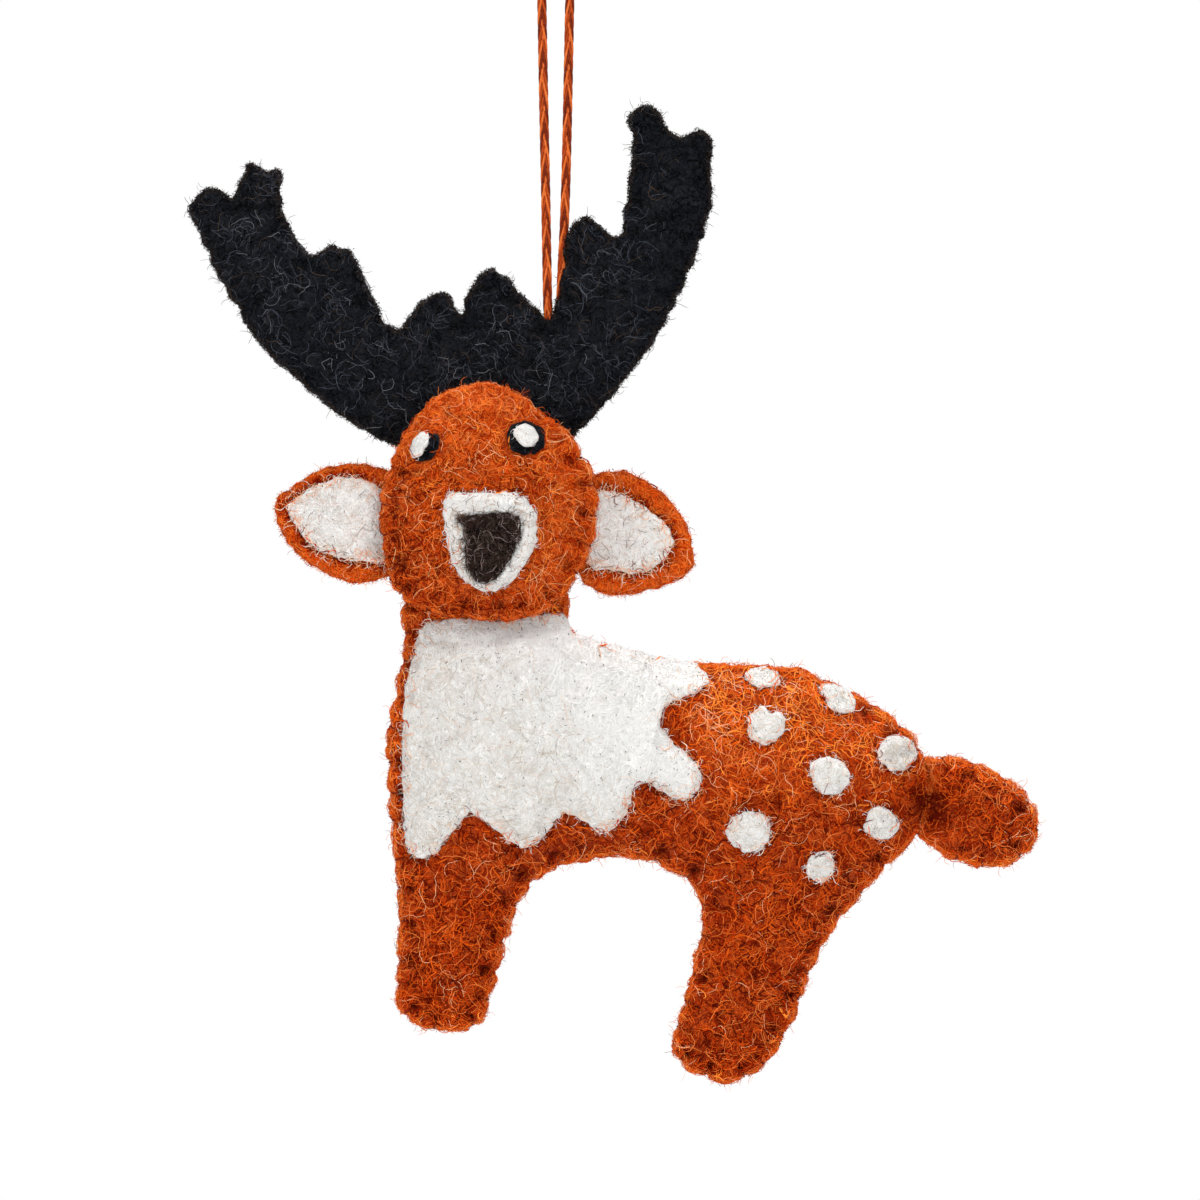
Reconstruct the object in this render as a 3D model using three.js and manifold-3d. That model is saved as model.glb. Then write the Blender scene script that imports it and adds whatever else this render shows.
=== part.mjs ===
// A stuffed felt stag that hangs by a cord loop: sewn panels over fillings, with felt patches on them.
// Millimetres, +Z up, -Y is the face of the ornament. The origin is where a hook carries the cord's loop.
import * as THREE from 'three';
import { mergeVertices } from 'three/addons/utils/BufferGeometryUtils.js';
import Module from 'manifold-3d';

const wasm = await Module();
wasm.setup();

// Felt, seams and the room that sewn pieces leave each other
const feltThickness = 1.5;
const patchThickness = 1.1;
const seamGap = 0.36;
const seatGap = 0.35;
const seamMargin = 2.6;
const seamShoulder = 1.0;
const cutOverrun = 4;

// How finely the soft surfaces are faceted
const outlineStep = 2.3;
const sheetStep = 3.0;
const fieldStep = 1.0;
const patchStep = 1.6;
const weldStep = 1e-4;
const fewestRimPoints = 10;
const rimClearShare = 0.6;
const nudgeShare = 0.03;
const discPoints = 12;

// The crown: both antlers and the hair between them, cut as one piece
const crown = { width: 61.8, height: 41.9, drop: 24.2, swell: 2.3, backSwell: 2.3 };
const cordInCrownShare = 0.702;

// The head, sewn over the crown's lower edge
const head = { width: 25.1, height: 28.5, swell: 5.6, backSwell: 0.5 };
const headOverCrown = 9.6;
const headCentreShare = 0.574;

// The body with its neck and legs, sewn behind the head
const body = { width: 63.8, height: 61.6, swell: 6.8, backSwell: 6.8 };
const neckBehindHead = 7.3;
const neckCentreShare = 0.189;

// The tail, butted against the rump's seam
const tail = { width: 14.7, height: 13.1, swell: 3.4, backSwell: 3.4 };
const tailBehindRump = 2.0;
const tailCentreShare = 0.522;

// Ears and their linings, in places given as shares of the piece that carries them
const leftEar = { width: 15.1, height: 13.9, behindHead: 2.35, curl: 1.3, centreShare: 0.409 };
const rightEar = { width: 14.1, height: 14.5, behindHead: 2.6, curl: 1.3, centreShare: 0.366 };
const leftLining = { width: 12.9, height: 10.7, centreShares: [0.516, 0.504] };
const rightLining = { width: 10.7, height: 10.2, centreShares: [0.446, 0.508] };

// Flat patches of the face and the breast
const bib = { width: 36.6, height: 28.7, centreShares: [0.313, 0.666] };
const muzzle = { width: 11.2, height: 12.0, centreShares: [0.505, 0.335] };
const nose = { width: 7.6, height: 8.5, centreShares: [0.500, 0.310] };
const leftEye = { width: 2.7, height: 3.2, centreShares: [0.207, 0.719] };
const rightEye = { width: 4.2, height: 4.0, centreShares: [0.681, 0.756] };
const leftHighlight = { width: 2.2, height: 3.1, centreShares: [0.179, 0.731] };
const rightHighlight = { width: 3.4, height: 2.9, centreShares: [0.669, 0.766] };

// The flank's spots
const spots = [
  { width: 4.3, height: 2.9, centreShares: [0.692, 0.777] },
  { width: 4.5, height: 3.7, centreShares: [0.832, 0.737] },
  { width: 4.7, height: 4.8, centreShares: [0.697, 0.685] },
  { width: 5.3, height: 4.7, centreShares: [0.815, 0.590] },
  { width: 4.9, height: 4.7, centreShares: [0.941, 0.632] },
  { width: 5.4, height: 5.3, centreShares: [0.666, 0.483] },
  { width: 4.4, height: 4.4, centreShares: [0.910, 0.498] },
  { width: 3.8, height: 4.0, centreShares: [0.799, 0.416] },
];

// The hanging cord and the knot that keeps its ends inside the crown
const cord = { diameter: 1.0, sides: 8, steps: 74 };
const knot = { radius: 1.5, height: 2.8, waist: 1.1, foldRadius: 1.3, folds: 10 };
const cordRoute = [
  [-0.72, -51.2], [-0.95, -50.0], [-1.06, -48.4], [-1.20, -42.0], [-1.30, -34.0], [-1.42, -26.0],
  [-1.55, -18.0], [-1.68, -11.0], [-1.90, -6.4], [-2.20, -3.2], [-2.30, -1.8], [-1.99, -0.65],
  [-1.15, 0.19], [0, 0.5], [1.15, 0.19], [1.99, -0.65], [2.30, -1.8], [2.20, -3.2],
  [1.92, -6.4], [1.68, -11.0], [1.50, -18.0], [1.28, -26.0], [1.02, -34.0], [0.78, -40.0],
  [0.52, -45.0], [0.46, -48.4], [0.52, -50.0], [0.62, -51.2],
];

// Outlines, as shares of each piece's own width and height from its lower left corner
const bodyShares = [
  [0.046, 0.971], [0.031, 0.914], [0.033, 0.847], [0.020, 0.761], [0.000, 0.656], [0.002, 0.561],
  [0.011, 0.447], [0.017, 0.332], [0.017, 0.227], [0.020, 0.151], [0.050, 0.115], [0.116, 0.101],
  [0.172, 0.115], [0.192, 0.164], [0.216, 0.260], [0.238, 0.336], [0.269, 0.389], [0.328, 0.422],
  [0.430, 0.439], [0.513, 0.416], [0.566, 0.370], [0.585, 0.317], [0.576, 0.265], [0.555, 0.189],
  [0.531, 0.107], [0.526, 0.061], [0.555, 0.027], [0.629, 0.000], [0.688, 0.027], [0.736, 0.101],
  [0.762, 0.164], [0.790, 0.237], [0.828, 0.303], [0.887, 0.374], [0.950, 0.447], [0.987, 0.494],
  [1.000, 0.561], [0.983, 0.637], [0.952, 0.687], [0.884, 0.739], [0.810, 0.773], [0.725, 0.796],
  [0.642, 0.805], [0.548, 0.802], [0.448, 0.824], [0.365, 0.847], [0.341, 0.870], [0.338, 0.924],
  [0.330, 0.971], [0.292, 0.992], [0.190, 1.000], [0.085, 0.992],
];
const headShares = [
  [0.474, 1.000], [0.362, 0.967], [0.263, 0.934], [0.178, 0.884], [0.117, 0.826], [0.085, 0.744],
  [0.056, 0.669], [0.019, 0.591], [0.000, 0.483], [0.005, 0.364], [0.038, 0.236], [0.127, 0.116],
  [0.254, 0.037], [0.446, 0.000], [0.643, 0.008], [0.798, 0.070], [0.901, 0.182], [0.962, 0.289],
  [0.995, 0.401], [1.000, 0.492], [0.981, 0.587], [0.948, 0.669], [0.892, 0.752], [0.831, 0.814],
  [0.761, 0.876], [0.681, 0.930], [0.582, 0.975],
];
const crownShares = [
  [0.000, 0.699], [0.011, 0.739], [0.042, 0.770], [0.065, 0.761], [0.086, 0.744], [0.097, 0.770],
  [0.101, 0.815], [0.118, 0.843], [0.145, 0.820], [0.175, 0.820], [0.181, 0.787], [0.173, 0.744],
  [0.194, 0.657], [0.221, 0.593], [0.246, 0.576], [0.261, 0.598], [0.290, 0.604], [0.312, 0.579],
  [0.335, 0.511], [0.362, 0.433], [0.389, 0.368], [0.415, 0.399], [0.442, 0.444], [0.480, 0.478],
  [0.499, 0.461], [0.518, 0.396], [0.528, 0.455], [0.549, 0.520], [0.575, 0.542], [0.604, 0.517],
  [0.640, 0.458], [0.693, 0.402], [0.701, 0.447], [0.716, 0.545], [0.720, 0.629], [0.739, 0.671],
  [0.766, 0.685], [0.789, 0.654], [0.810, 0.624], [0.825, 0.657], [0.836, 0.736], [0.846, 0.854],
  [0.850, 0.896], [0.838, 0.949], [0.853, 0.989], [0.878, 1.000], [0.907, 0.961], [0.926, 0.907],
  [0.947, 0.927], [0.983, 0.930], [1.000, 0.896], [0.992, 0.820], [0.996, 0.750], [0.979, 0.638],
  [0.945, 0.503], [0.901, 0.379], [0.855, 0.278], [0.800, 0.180], [0.747, 0.098], [0.712, 0.048],
  [0.632, 0.006], [0.537, 0.000], [0.451, 0.017], [0.396, 0.045], [0.299, 0.124], [0.204, 0.239],
  [0.137, 0.340], [0.078, 0.458], [0.042, 0.562], [0.021, 0.638],
];
const tailShares = [
  [0.032, 0.829], [0.096, 0.946], [0.288, 1.000], [0.504, 0.964], [0.728, 0.829], [0.912, 0.667],
  [1.000, 0.441], [0.992, 0.225], [0.864, 0.063], [0.608, 0.000], [0.360, 0.054], [0.192, 0.171],
  [0.048, 0.351], [0.000, 0.604],
];
const leftEarShares = [
  [0.000, 0.627], [0.031, 0.737], [0.180, 0.847], [0.352, 0.958], [0.586, 1.000], [0.805, 0.975],
  [0.945, 0.898], [1.000, 0.695], [1.000, 0.314], [0.945, 0.102], [0.781, 0.017], [0.586, 0.000],
  [0.367, 0.093], [0.180, 0.237], [0.055, 0.415],
];
const rightEarShares = [
  [0.050, 0.854], [0.092, 0.935], [0.217, 0.992], [0.425, 1.000], [0.633, 0.911], [0.817, 0.764],
  [0.933, 0.593], [1.000, 0.366], [0.975, 0.203], [0.800, 0.098], [0.592, 0.033], [0.383, 0.000],
  [0.175, 0.041], [0.050, 0.138], [0.000, 0.325], [0.008, 0.650],
];
const leftLiningShares = [
  [0.000, 0.670], [0.155, 0.813], [0.318, 0.934], [0.509, 1.000], [0.691, 0.978], [0.855, 0.890],
  [0.982, 0.692], [1.000, 0.198], [0.927, 0.000], [0.645, 0.022], [0.509, 0.077], [0.255, 0.209],
  [0.136, 0.385], [0.064, 0.538],
];
const rightLiningShares = [
  [0.088, 0.897], [0.242, 1.000], [0.527, 0.897], [0.769, 0.747], [0.945, 0.598], [1.000, 0.391],
  [0.901, 0.172], [0.637, 0.000], [0.330, 0.023], [0.088, 0.057], [0.000, 0.184], [0.011, 0.644],
];
const bibShares = [
  [0.061, 0.939], [0.151, 0.980], [0.325, 0.967], [0.476, 1.000], [0.531, 0.988], [0.550, 0.914],
  [0.659, 0.865], [0.810, 0.807], [0.961, 0.783], [1.000, 0.725], [0.968, 0.684], [0.855, 0.619],
  [0.836, 0.570], [0.887, 0.471], [0.949, 0.406], [0.974, 0.320], [0.949, 0.250], [0.900, 0.221],
  [0.833, 0.250], [0.765, 0.303], [0.743, 0.201], [0.704, 0.127], [0.643, 0.086], [0.598, 0.135],
  [0.521, 0.184], [0.476, 0.115], [0.447, 0.066], [0.386, 0.041], [0.309, 0.107], [0.219, 0.189],
  [0.190, 0.143], [0.141, 0.066], [0.084, 0.000], [0.029, 0.008], [0.010, 0.086], [0.003, 0.279],
  [0.000, 0.377], [0.006, 0.619], [0.013, 0.713], [0.042, 0.840],
];
const muzzleShares = [
  [0.000, 0.892], [0.084, 0.971], [0.316, 1.000], [0.537, 1.000], [0.768, 0.980], [0.916, 0.873],
  [1.000, 0.735], [1.000, 0.569], [0.947, 0.392], [0.821, 0.206], [0.684, 0.069], [0.495, 0.000],
  [0.347, 0.039], [0.189, 0.157], [0.095, 0.324], [0.042, 0.490], [0.011, 0.696],
];
const noseShares = [
  [0.000, 0.931], [0.492, 1.000], [0.908, 0.958], [1.000, 0.861], [0.969, 0.667], [0.862, 0.417],
  [0.723, 0.181], [0.462, 0.000], [0.246, 0.069], [0.138, 0.250], [0.108, 0.569], [0.046, 0.806],
];
const discShares = Array.from({ length: discPoints }, (_, i) => {
  const turn = (i / discPoints) * 2 * Math.PI;
  return [0.5 + 0.5 * Math.cos(turn), 0.5 + 0.5 * Math.sin(turn)];
});

const rustFelt = new THREE.MeshStandardMaterial({ color: 0xb8450f, roughness: 0.95, metalness: 0 });
const blackFelt = new THREE.MeshStandardMaterial({ color: 0x1b1c20, roughness: 0.97, metalness: 0 });
const whiteFelt = new THREE.MeshStandardMaterial({ color: 0xe6e4e2, roughness: 0.95, metalness: 0 });
const brownFelt = new THREE.MeshStandardMaterial({ color: 0x281e1a, roughness: 0.95, metalness: 0 });
const filling = new THREE.MeshStandardMaterial({ color: 0xf2f0ea, roughness: 1.0, metalness: 0 });
const waxedCord = new THREE.MeshStandardMaterial({ color: 0xb4541c, roughness: 0.6, metalness: 0 });

// A closed geometry as a solid that can be cut
function solidOf(geometry) {
  const bare = geometry.clone();
  bare.deleteAttribute('normal');
  bare.deleteAttribute('uv');
  const merged = mergeVertices(bare, weldStep);
  return new wasm.Manifold(new wasm.Mesh({
    numProp: 3,
    vertProperties: new Float32Array(merged.attributes.position.array),
    triVerts: new Uint32Array(merged.index.array),
  }));
}

// The largest body of a solid, as a geometry: a cut can leave a sliver beside it.
function geometryOf(solid) {
  const largest = solid.decompose().reduce((a, b) => (b.volume() > a.volume() ? b : a));
  const mesh = largest.getMesh();
  const geometry = new THREE.BufferGeometry();
  geometry.setAttribute('position', new THREE.BufferAttribute(mesh.vertProperties, 3));
  geometry.setIndex(new THREE.BufferAttribute(mesh.triVerts, 1));
  geometry.computeVertexNormals();
  return geometry;
}

// A smooth closed outline through shares of a width and height, as evenly spaced points, anticlockwise
function outlineOf(shares, width, height, step) {
  const knots = shares.map(([x, z]) => new THREE.Vector3(x * width, z * height, 0));
  const curve = new THREE.CatmullRomCurve3(knots, true, 'centripetal');
  const count = Math.max(fewestRimPoints, Math.round(curve.getLength() / step));
  const points = curve.getSpacedPoints(count).slice(0, -1).map((p) => new THREE.Vector2(p.x, p.y));
  return THREE.ShapeUtils.area(points) < 0 ? points.reverse() : points;
}

function isInside(outline, p) {
  let inside = false;
  for (let i = 0, j = outline.length - 1; i < outline.length; j = i++) {
    const a = outline[i];
    const b = outline[j];
    if (a.y > p.y !== b.y > p.y && p.x < ((b.x - a.x) * (p.y - a.y)) / (b.y - a.y) + a.x) inside = !inside;
  }
  return inside;
}

function distanceTo(outline, p) {
  let nearest = Infinity;
  for (let i = 0, j = outline.length - 1; i < outline.length; j = i++) {
    const along = outline[i].clone().sub(outline[j]);
    const from = p.clone().sub(outline[j]);
    const share = THREE.MathUtils.clamp(from.dot(along) / along.lengthSq(), 0, 1);
    nearest = Math.min(nearest, from.sub(along.multiplyScalar(share)).length());
  }
  return nearest;
}

// Whether p lies in the circle through a, b and c, which turn anticlockwise
function inCircle(a, b, c, p) {
  const [ax, ay, bx, by, cx, cy] = [a.x - p.x, a.y - p.y, b.x - p.x, b.y - p.y, c.x - p.x, c.y - p.y];
  const determinant = (ax * ax + ay * ay) * (bx * cy - cx * by)
    - (bx * bx + by * by) * (ax * cy - cx * ay)
    + (cx * cx + cy * cy) * (ax * by - bx * ay);
  return determinant > 0;
}

// Delaunay triangles of a set of points, each added in turn to the circles that hold it
function triangulate(points) {
  const box = new THREE.Box2().setFromPoints(points);
  const reach = 20 * box.getSize(new THREE.Vector2()).length();
  const centre = box.getCenter(new THREE.Vector2());
  const corners = [[-1, -1], [1, -1], [0, 1]];
  const all = [...points, ...corners.map(([x, y]) => new THREE.Vector2(x, y).multiplyScalar(reach).add(centre))];
  const first = points.length;
  let triangles = [[first, first + 1, first + 2]];
  points.forEach((p, index) => {
    const rim = new Map();
    triangles = triangles.filter((t) => {
      if (!inCircle(all[t[0]], all[t[1]], all[t[2]], p)) return true;
      t.forEach((a, k) => {
        const b = t[(k + 1) % 3];
        if (!rim.delete(b + ' ' + a)) rim.set(a + ' ' + b, [a, b]);
      });
      return false;
    });
    for (const [a, b] of rim.values()) triangles.push([a, b, index]);
  });
  return triangles.filter((t) => t.every((k) => k < first));
}

// A flat sheet of even triangles that fills an outline: its own points and a staggered grid inside it
function sheetOf(outline, step) {
  const box = new THREE.Box2().setFromPoints(outline);
  const inner = [];
  for (let row = 1, y = box.min.y + step; y < box.max.y; row++, y += step * Math.sin(Math.PI / 3)) {
    for (let x = box.min.x + (row % 2 ? step : step / 2); x < box.max.x; x += step) {
      const nudge = nudgeShare * step * Math.sin(inner.length);
      const p = new THREE.Vector2(x + nudge, y - nudge / 2);
      if (isInside(outline, p) && distanceTo(outline, p) > rimClearShare * step) inner.push(p);
    }
  }
  let rim = outline;
  for (;;) {
    const points = [...rim, ...inner];
    const triangles = triangulate(points).filter((t) => {
      const middle = new THREE.Vector2();
      t.forEach((k) => middle.addScaledVector(points[k], 1 / 3));
      return isInside(rim, middle);
    });
    const edges = new Set(triangles.flatMap((t) => t.map((a, k) => a + ' ' + t[(k + 1) % 3])));
    const missed = rim.map((_, i) => !edges.has(i + ' ' + ((i + 1) % rim.length)));
    if (!missed.includes(true)) return { points, triangles };
    rim = rim.flatMap((p, i) => (missed[i] ? [p, p.clone().lerp(rim[(i + 1) % rim.length], 0.5)] : [p]));
  }
}

// The closed solid between two surfaces over a sheet: front and back give Y at a point of it
function slab(sheet, front, back) {
  const count = sheet.points.length;
  const position = new Float32Array(6 * count);
  sheet.points.forEach((p, i) => {
    position.set([p.x, front(p), p.y], 3 * i);
    position.set([p.x, back(p), p.y], 3 * (i + count));
  });
  const index = [];
  const edges = new Map();
  for (const t of sheet.triangles) {
    index.push(t[0], t[1], t[2], t[0] + count, t[2] + count, t[1] + count);
    t.forEach((a, k) => {
      const b = t[(k + 1) % 3];
      if (!edges.delete(b + ' ' + a)) edges.set(a + ' ' + b, [a, b]);
    });
  }
  for (const [a, b] of edges.values()) index.push(b, a, a + count, b, a + count, b + count);
  const geometry = new THREE.BufferGeometry();
  geometry.setAttribute('position', new THREE.BufferAttribute(position, 3));
  geometry.setIndex(index);
  geometry.computeVertexNormals();
  return geometry;
}

// A straight prism over an outline, from one Y to another
function prism(outline, from, to) {
  const geometry = new THREE.ExtrudeGeometry(new THREE.Shape(outline), { depth: to - from, bevelEnabled: false });
  geometry.rotateX(Math.PI / 2);
  geometry.translate(0, to, 0);
  return geometry;
}

// How far a filling lifts the felt over an outline, as a share of its highest lift: a skin held at the
// seam and pressed from inside, found by relaxing a grid, and then rounded like a stuffed form.
function swellOf(outline, width, height) {
  const columns = Math.ceil(width / fieldStep) + 3;
  const rows = Math.ceil(height / fieldStep) + 3;
  const held = new Uint8Array(columns * rows);
  const lift = new Float64Array(columns * rows);
  const placeOf = (column, row) => new THREE.Vector2((column - 1) * fieldStep, (row - 1) * fieldStep);
  for (let row = 0; row < rows; row++) {
    for (let column = 0; column < columns; column++) {
      held[row * columns + column] = isInside(outline, placeOf(column, row)) ? 0 : 1;
    }
  }
  const sweeps = 260;
  const hurry = 1.85;
  for (let sweep = 0; sweep < sweeps; sweep++) {
    for (let k = columns; k < lift.length - columns; k++) {
      if (held[k]) continue;
      const settled = (lift[k - 1] + lift[k + 1] + lift[k - columns] + lift[k + columns] + 1) / 4;
      lift[k] += hurry * (settled - lift[k]);
    }
  }
  const rounded = (value) => Math.hypot(fieldStep * Math.sqrt(value), seamShoulder) - seamShoulder;
  const highest = rounded(lift.reduce((a, b) => Math.max(a, b), 0));
  return (p) => {
    const column = THREE.MathUtils.clamp(p.x / fieldStep + 1, 0, columns - 2);
    const row = THREE.MathUtils.clamp(p.y / fieldStep + 1, 0, rows - 2);
    const [c, r] = [Math.floor(column), Math.floor(row)];
    const at = (i, j) => lift[(r + j) * columns + c + i];
    const low = THREE.MathUtils.lerp(at(0, 0), at(1, 0), column - c);
    const high = THREE.MathUtils.lerp(at(0, 1), at(1, 1), column - c);
    const margin = isInside(outline, p) ? THREE.MathUtils.smoothstep(distanceTo(outline, p), 0, seamMargin) : 0;
    return (margin * rounded(THREE.MathUtils.lerp(low, high, row - r))) / highest;
  };
}

// A stuffed form in its own box, with the seam in the plane Y = 0
function stuffedForm(size, shares) {
  const outline = outlineOf(shares, size.width, size.height, outlineStep);
  const sheet = sheetOf(outline, sheetStep);
  const share = swellOf(outline, size.width, size.height);
  const step = fieldStep / 2;
  const slope = (p) => new THREE.Vector2(
    (share(new THREE.Vector2(p.x + step, p.y)) - share(new THREE.Vector2(p.x - step, p.y))) / (2 * step),
    (share(new THREE.Vector2(p.x, p.y + step)) - share(new THREE.Vector2(p.x, p.y - step))) / (2 * step),
  ).length();
  const outer = (p, swell) => seamGap / 2 + feltThickness + swell * share(p);
  const inner = (p, swell) => {
    const slant = Math.hypot(1, swell * slope(p));
    return seamGap / 2 + Math.max(0, swell * share(p) - feltThickness * (slant - 1));
  };
  const front = (p) => -outer(p, size.swell);
  return {
    size, outline, sheet, front,
    swellAt: (p) => size.swell * share(p),
    frontPanel: slab(sheet, front, (p) => -inner(p, size.swell)),
    backPanel: slab(sheet, (p) => inner(p, size.backSwell), (p) => outer(p, size.backSwell)),
    fill: fillBetween(sheet, (p) => inner(p, size.swell) - seatGap, (p) => inner(p, size.backSwell) - seatGap),
  };
}

// The lens of filling between two surfaces: where they cross near the seam, it ends.
function fillBetween(sheet, front, back) {
  const far = crown.height + body.height;
  const behind = solidOf(slab(sheet, (p) => -front(p), () => far));
  const before = solidOf(slab(sheet, () => -far, back));
  return geometryOf(behind.intersect(before));
}

// The outline of a flat patch, placed on the piece that carries it
function placedOutline(patch, shares, carrier) {
  const left = patch.centreShares[0] * carrier.width - patch.width / 2;
  const bottom = patch.centreShares[1] * carrier.height - patch.height / 2;
  return outlineOf(shares, patch.width, patch.height, patchStep)
    .map((p) => new THREE.Vector2(p.x + left, p.y + bottom));
}

// A patch of felt that lies on a form's front, level by level
function patchOn(form, patch, shares, level) {
  const lift = seatGap + level * (patchThickness + seatGap);
  const skin = slab(form.sheet, (p) => form.front(p) - lift - patchThickness, (p) => form.front(p) - lift);
  const reach = form.size.width + form.size.height;
  const outline = placedOutline(patch, shares, form.size);
  return geometryOf(solidOf(skin).intersect(solidOf(prism(outline, -reach, reach))));
}

function addTo(group, name, geometry, material) {
  const mesh = new THREE.Mesh(geometry, material);
  mesh.name = name;
  group.add(mesh);
  return mesh;
}

// The crown hangs below the loop, with its seam in the cord's plane.
const crownForm = stuffedForm(crown, crownShares);
const crownGroup = new THREE.Group();
crownGroup.position.set(-cordInCrownShare * crown.width, 0, -crown.drop - crown.height);

// The head's back lies on the crown's front.
const headForm = stuffedForm(head, headShares);
const headGroup = new THREE.Group();
headGroup.position.set(
  crownGroup.position.x + headCentreShare * crown.width - head.width / 2,
  -(crown.swell + head.backSwell + 2 * feltThickness + seamGap + seatGap),
  crownGroup.position.z + headOverCrown - head.height,
);

// The neck and the bib on it lie behind the head, so the body's seam is set back by the highest of them.
const bodyForm = stuffedForm(body, bodyShares);
const bodyGroup = new THREE.Group();
bodyGroup.position.x = headGroup.position.x + head.width / 2 - neckCentreShare * body.width;
bodyGroup.position.z = headGroup.position.z + neckBehindHead - body.height;
const headInBody = new THREE.Vector2(
  headGroup.position.x - bodyGroup.position.x,
  headGroup.position.z - bodyGroup.position.z,
);
const neckLift = bodyForm.sheet.points
  .filter((p) => isInside(headForm.outline, p.clone().sub(headInBody)))
  .reduce((most, p) => Math.max(most, bodyForm.swellAt(p)), 0);
const headBack = headGroup.position.y + head.backSwell + feltThickness + seamGap / 2;
bodyGroup.position.y = headBack + patchThickness + 2 * seatGap + neckLift + feltThickness + seamGap / 2;

// The tail's seam is the body's, and the rump cuts its root.
const tailForm = stuffedForm(tail, tailShares);
const tailGroup = new THREE.Group();
tailGroup.position.set(body.width - tailBehindRump, 0, tailCentreShare * body.height - tail.height / 2);
bodyGroup.add(tailGroup);

const ornament = new THREE.Group();
ornament.add(crownGroup, headGroup, bodyGroup);

// The cord's loop, one strand up and one down, and the knot at its ends
const cordCurve = new THREE.CatmullRomCurve3(cordRoute.map(([x, z]) => new THREE.Vector3(x, 0, z)));
function tubeAlong(curve, radius) {
  const ring = Array.from({ length: cord.sides }, (_, i) => {
    const turn = ((i + 0.5) / cord.sides) * 2 * Math.PI;
    return new THREE.Vector2(radius * Math.cos(turn), radius * Math.sin(turn));
  });
  return new THREE.ExtrudeGeometry(new THREE.Shape(ring), { steps: cord.steps, extrudePath: curve });
}
const knotProfile = [
  [0, -knot.height / 2], [knot.foldRadius, -knot.height / 2], [knot.radius, -knot.height / 4],
  [knot.waist, 0], [knot.radius, knot.height / 4], [knot.foldRadius, knot.height / 2], [0, knot.height / 2],
].map(([radius, z]) => new THREE.Vector2(radius, z));
const knotGeometry = new THREE.LatheGeometry(knotProfile, knot.folds);
knotGeometry.rotateX(Math.PI / 2);
const cordGroup = new THREE.Group();
addTo(cordGroup, 'hanging_cord', tubeAlong(cordCurve, cord.diameter / 2), waxedCord);
const knotMesh = addTo(cordGroup, 'cord_knot', knotGeometry, waxedCord);
knotMesh.position.z = cordRoute[0][1] - seatGap - knot.height / 2;
ornament.add(cordGroup);

// The felt and the filling of the crown make room for the cord and its knot.
const channel = tubeAlong(cordCurve, cord.diameter / 2 + seatGap);
const pocketRadius = (Math.hypot(knot.radius, knot.height / 2) + seatGap) / Math.cos(Math.PI / knot.folds);
const pocketDepth = 2 * (crown.swell + crown.backSwell);
const pocket = new THREE.CylinderGeometry(pocketRadius, pocketRadius, pocketDepth, knot.folds);
pocket.translate(0, 0, knotMesh.position.z);
for (const cut of [channel, pocket]) {
  cut.translate(-crownGroup.position.x, 0, -crownGroup.position.z);
}
function without(geometry, ...cuts) {
  return geometryOf(cuts.reduce((solid, cut) => solid.subtract(solidOf(cut)), solidOf(geometry)));
}
addTo(crownGroup, 'crown_front_panel', without(crownForm.frontPanel, channel), blackFelt);
addTo(crownGroup, 'crown_back_panel', without(crownForm.backPanel, channel), blackFelt);
addTo(crownGroup, 'crown_filling', without(crownForm.fill, channel, pocket), filling);

addTo(headGroup, 'head_front_panel', headForm.frontPanel, rustFelt);
addTo(headGroup, 'head_back_panel', headForm.backPanel, rustFelt);
addTo(headGroup, 'head_filling', headForm.fill, filling);
addTo(headGroup, 'muzzle', patchOn(headForm, muzzle, muzzleShares, 0), whiteFelt);
addTo(headGroup, 'nose', patchOn(headForm, nose, noseShares, 1), brownFelt);
addTo(headGroup, 'left_eye', patchOn(headForm, leftEye, discShares, 0), blackFelt);
addTo(headGroup, 'right_eye', patchOn(headForm, rightEye, discShares, 0), blackFelt);
addTo(headGroup, 'left_eye_highlight', patchOn(headForm, leftHighlight, discShares, 1), whiteFelt);
addTo(headGroup, 'right_eye_highlight', patchOn(headForm, rightHighlight, discShares, 1), whiteFelt);

// An ear is one layer of felt behind the head's rim, curled forward towards its tip.
function addEar(side, size, shares, lining, liningShares, leftEdge, rootAtRight) {
  const outline = outlineOf(shares, size.width, size.height, patchStep);
  const fromRoot = (p) => (rootAtRight ? size.width - p.x : p.x) / size.width;
  const front = (p) => -size.curl * fromRoot(p) ** 2;
  const form = { size, sheet: sheetOf(outline, sheetStep), front };
  const group = new THREE.Group();
  group.position.set(
    leftEdge,
    headBack - headGroup.position.y + patchThickness + 2 * seatGap,
    size.centreShare * head.height - size.height / 2,
  );
  addTo(group, side + '_ear', slab(form.sheet, front, (p) => front(p) + feltThickness), rustFelt);
  addTo(group, side + '_ear_lining', patchOn(form, lining, liningShares, 0), whiteFelt);
  headGroup.add(group);
}
addEar('left', leftEar, leftEarShares, leftLining, leftLiningShares, leftEar.behindHead - leftEar.width, true);
addEar('right', rightEar, rightEarShares, rightLining, rightLiningShares, head.width - rightEar.behindHead, false);

addTo(bodyGroup, 'body_front_panel', bodyForm.frontPanel, rustFelt);
addTo(bodyGroup, 'body_back_panel', bodyForm.backPanel, rustFelt);
addTo(bodyGroup, 'body_filling', bodyForm.fill, filling);
addTo(bodyGroup, 'bib', patchOn(bodyForm, bib, bibShares, 0), whiteFelt);
spots.forEach((spot, i) => {
  addTo(bodyGroup, 'spot_' + (i + 1), patchOn(bodyForm, spot, discShares, 0), whiteFelt);
});

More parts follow.
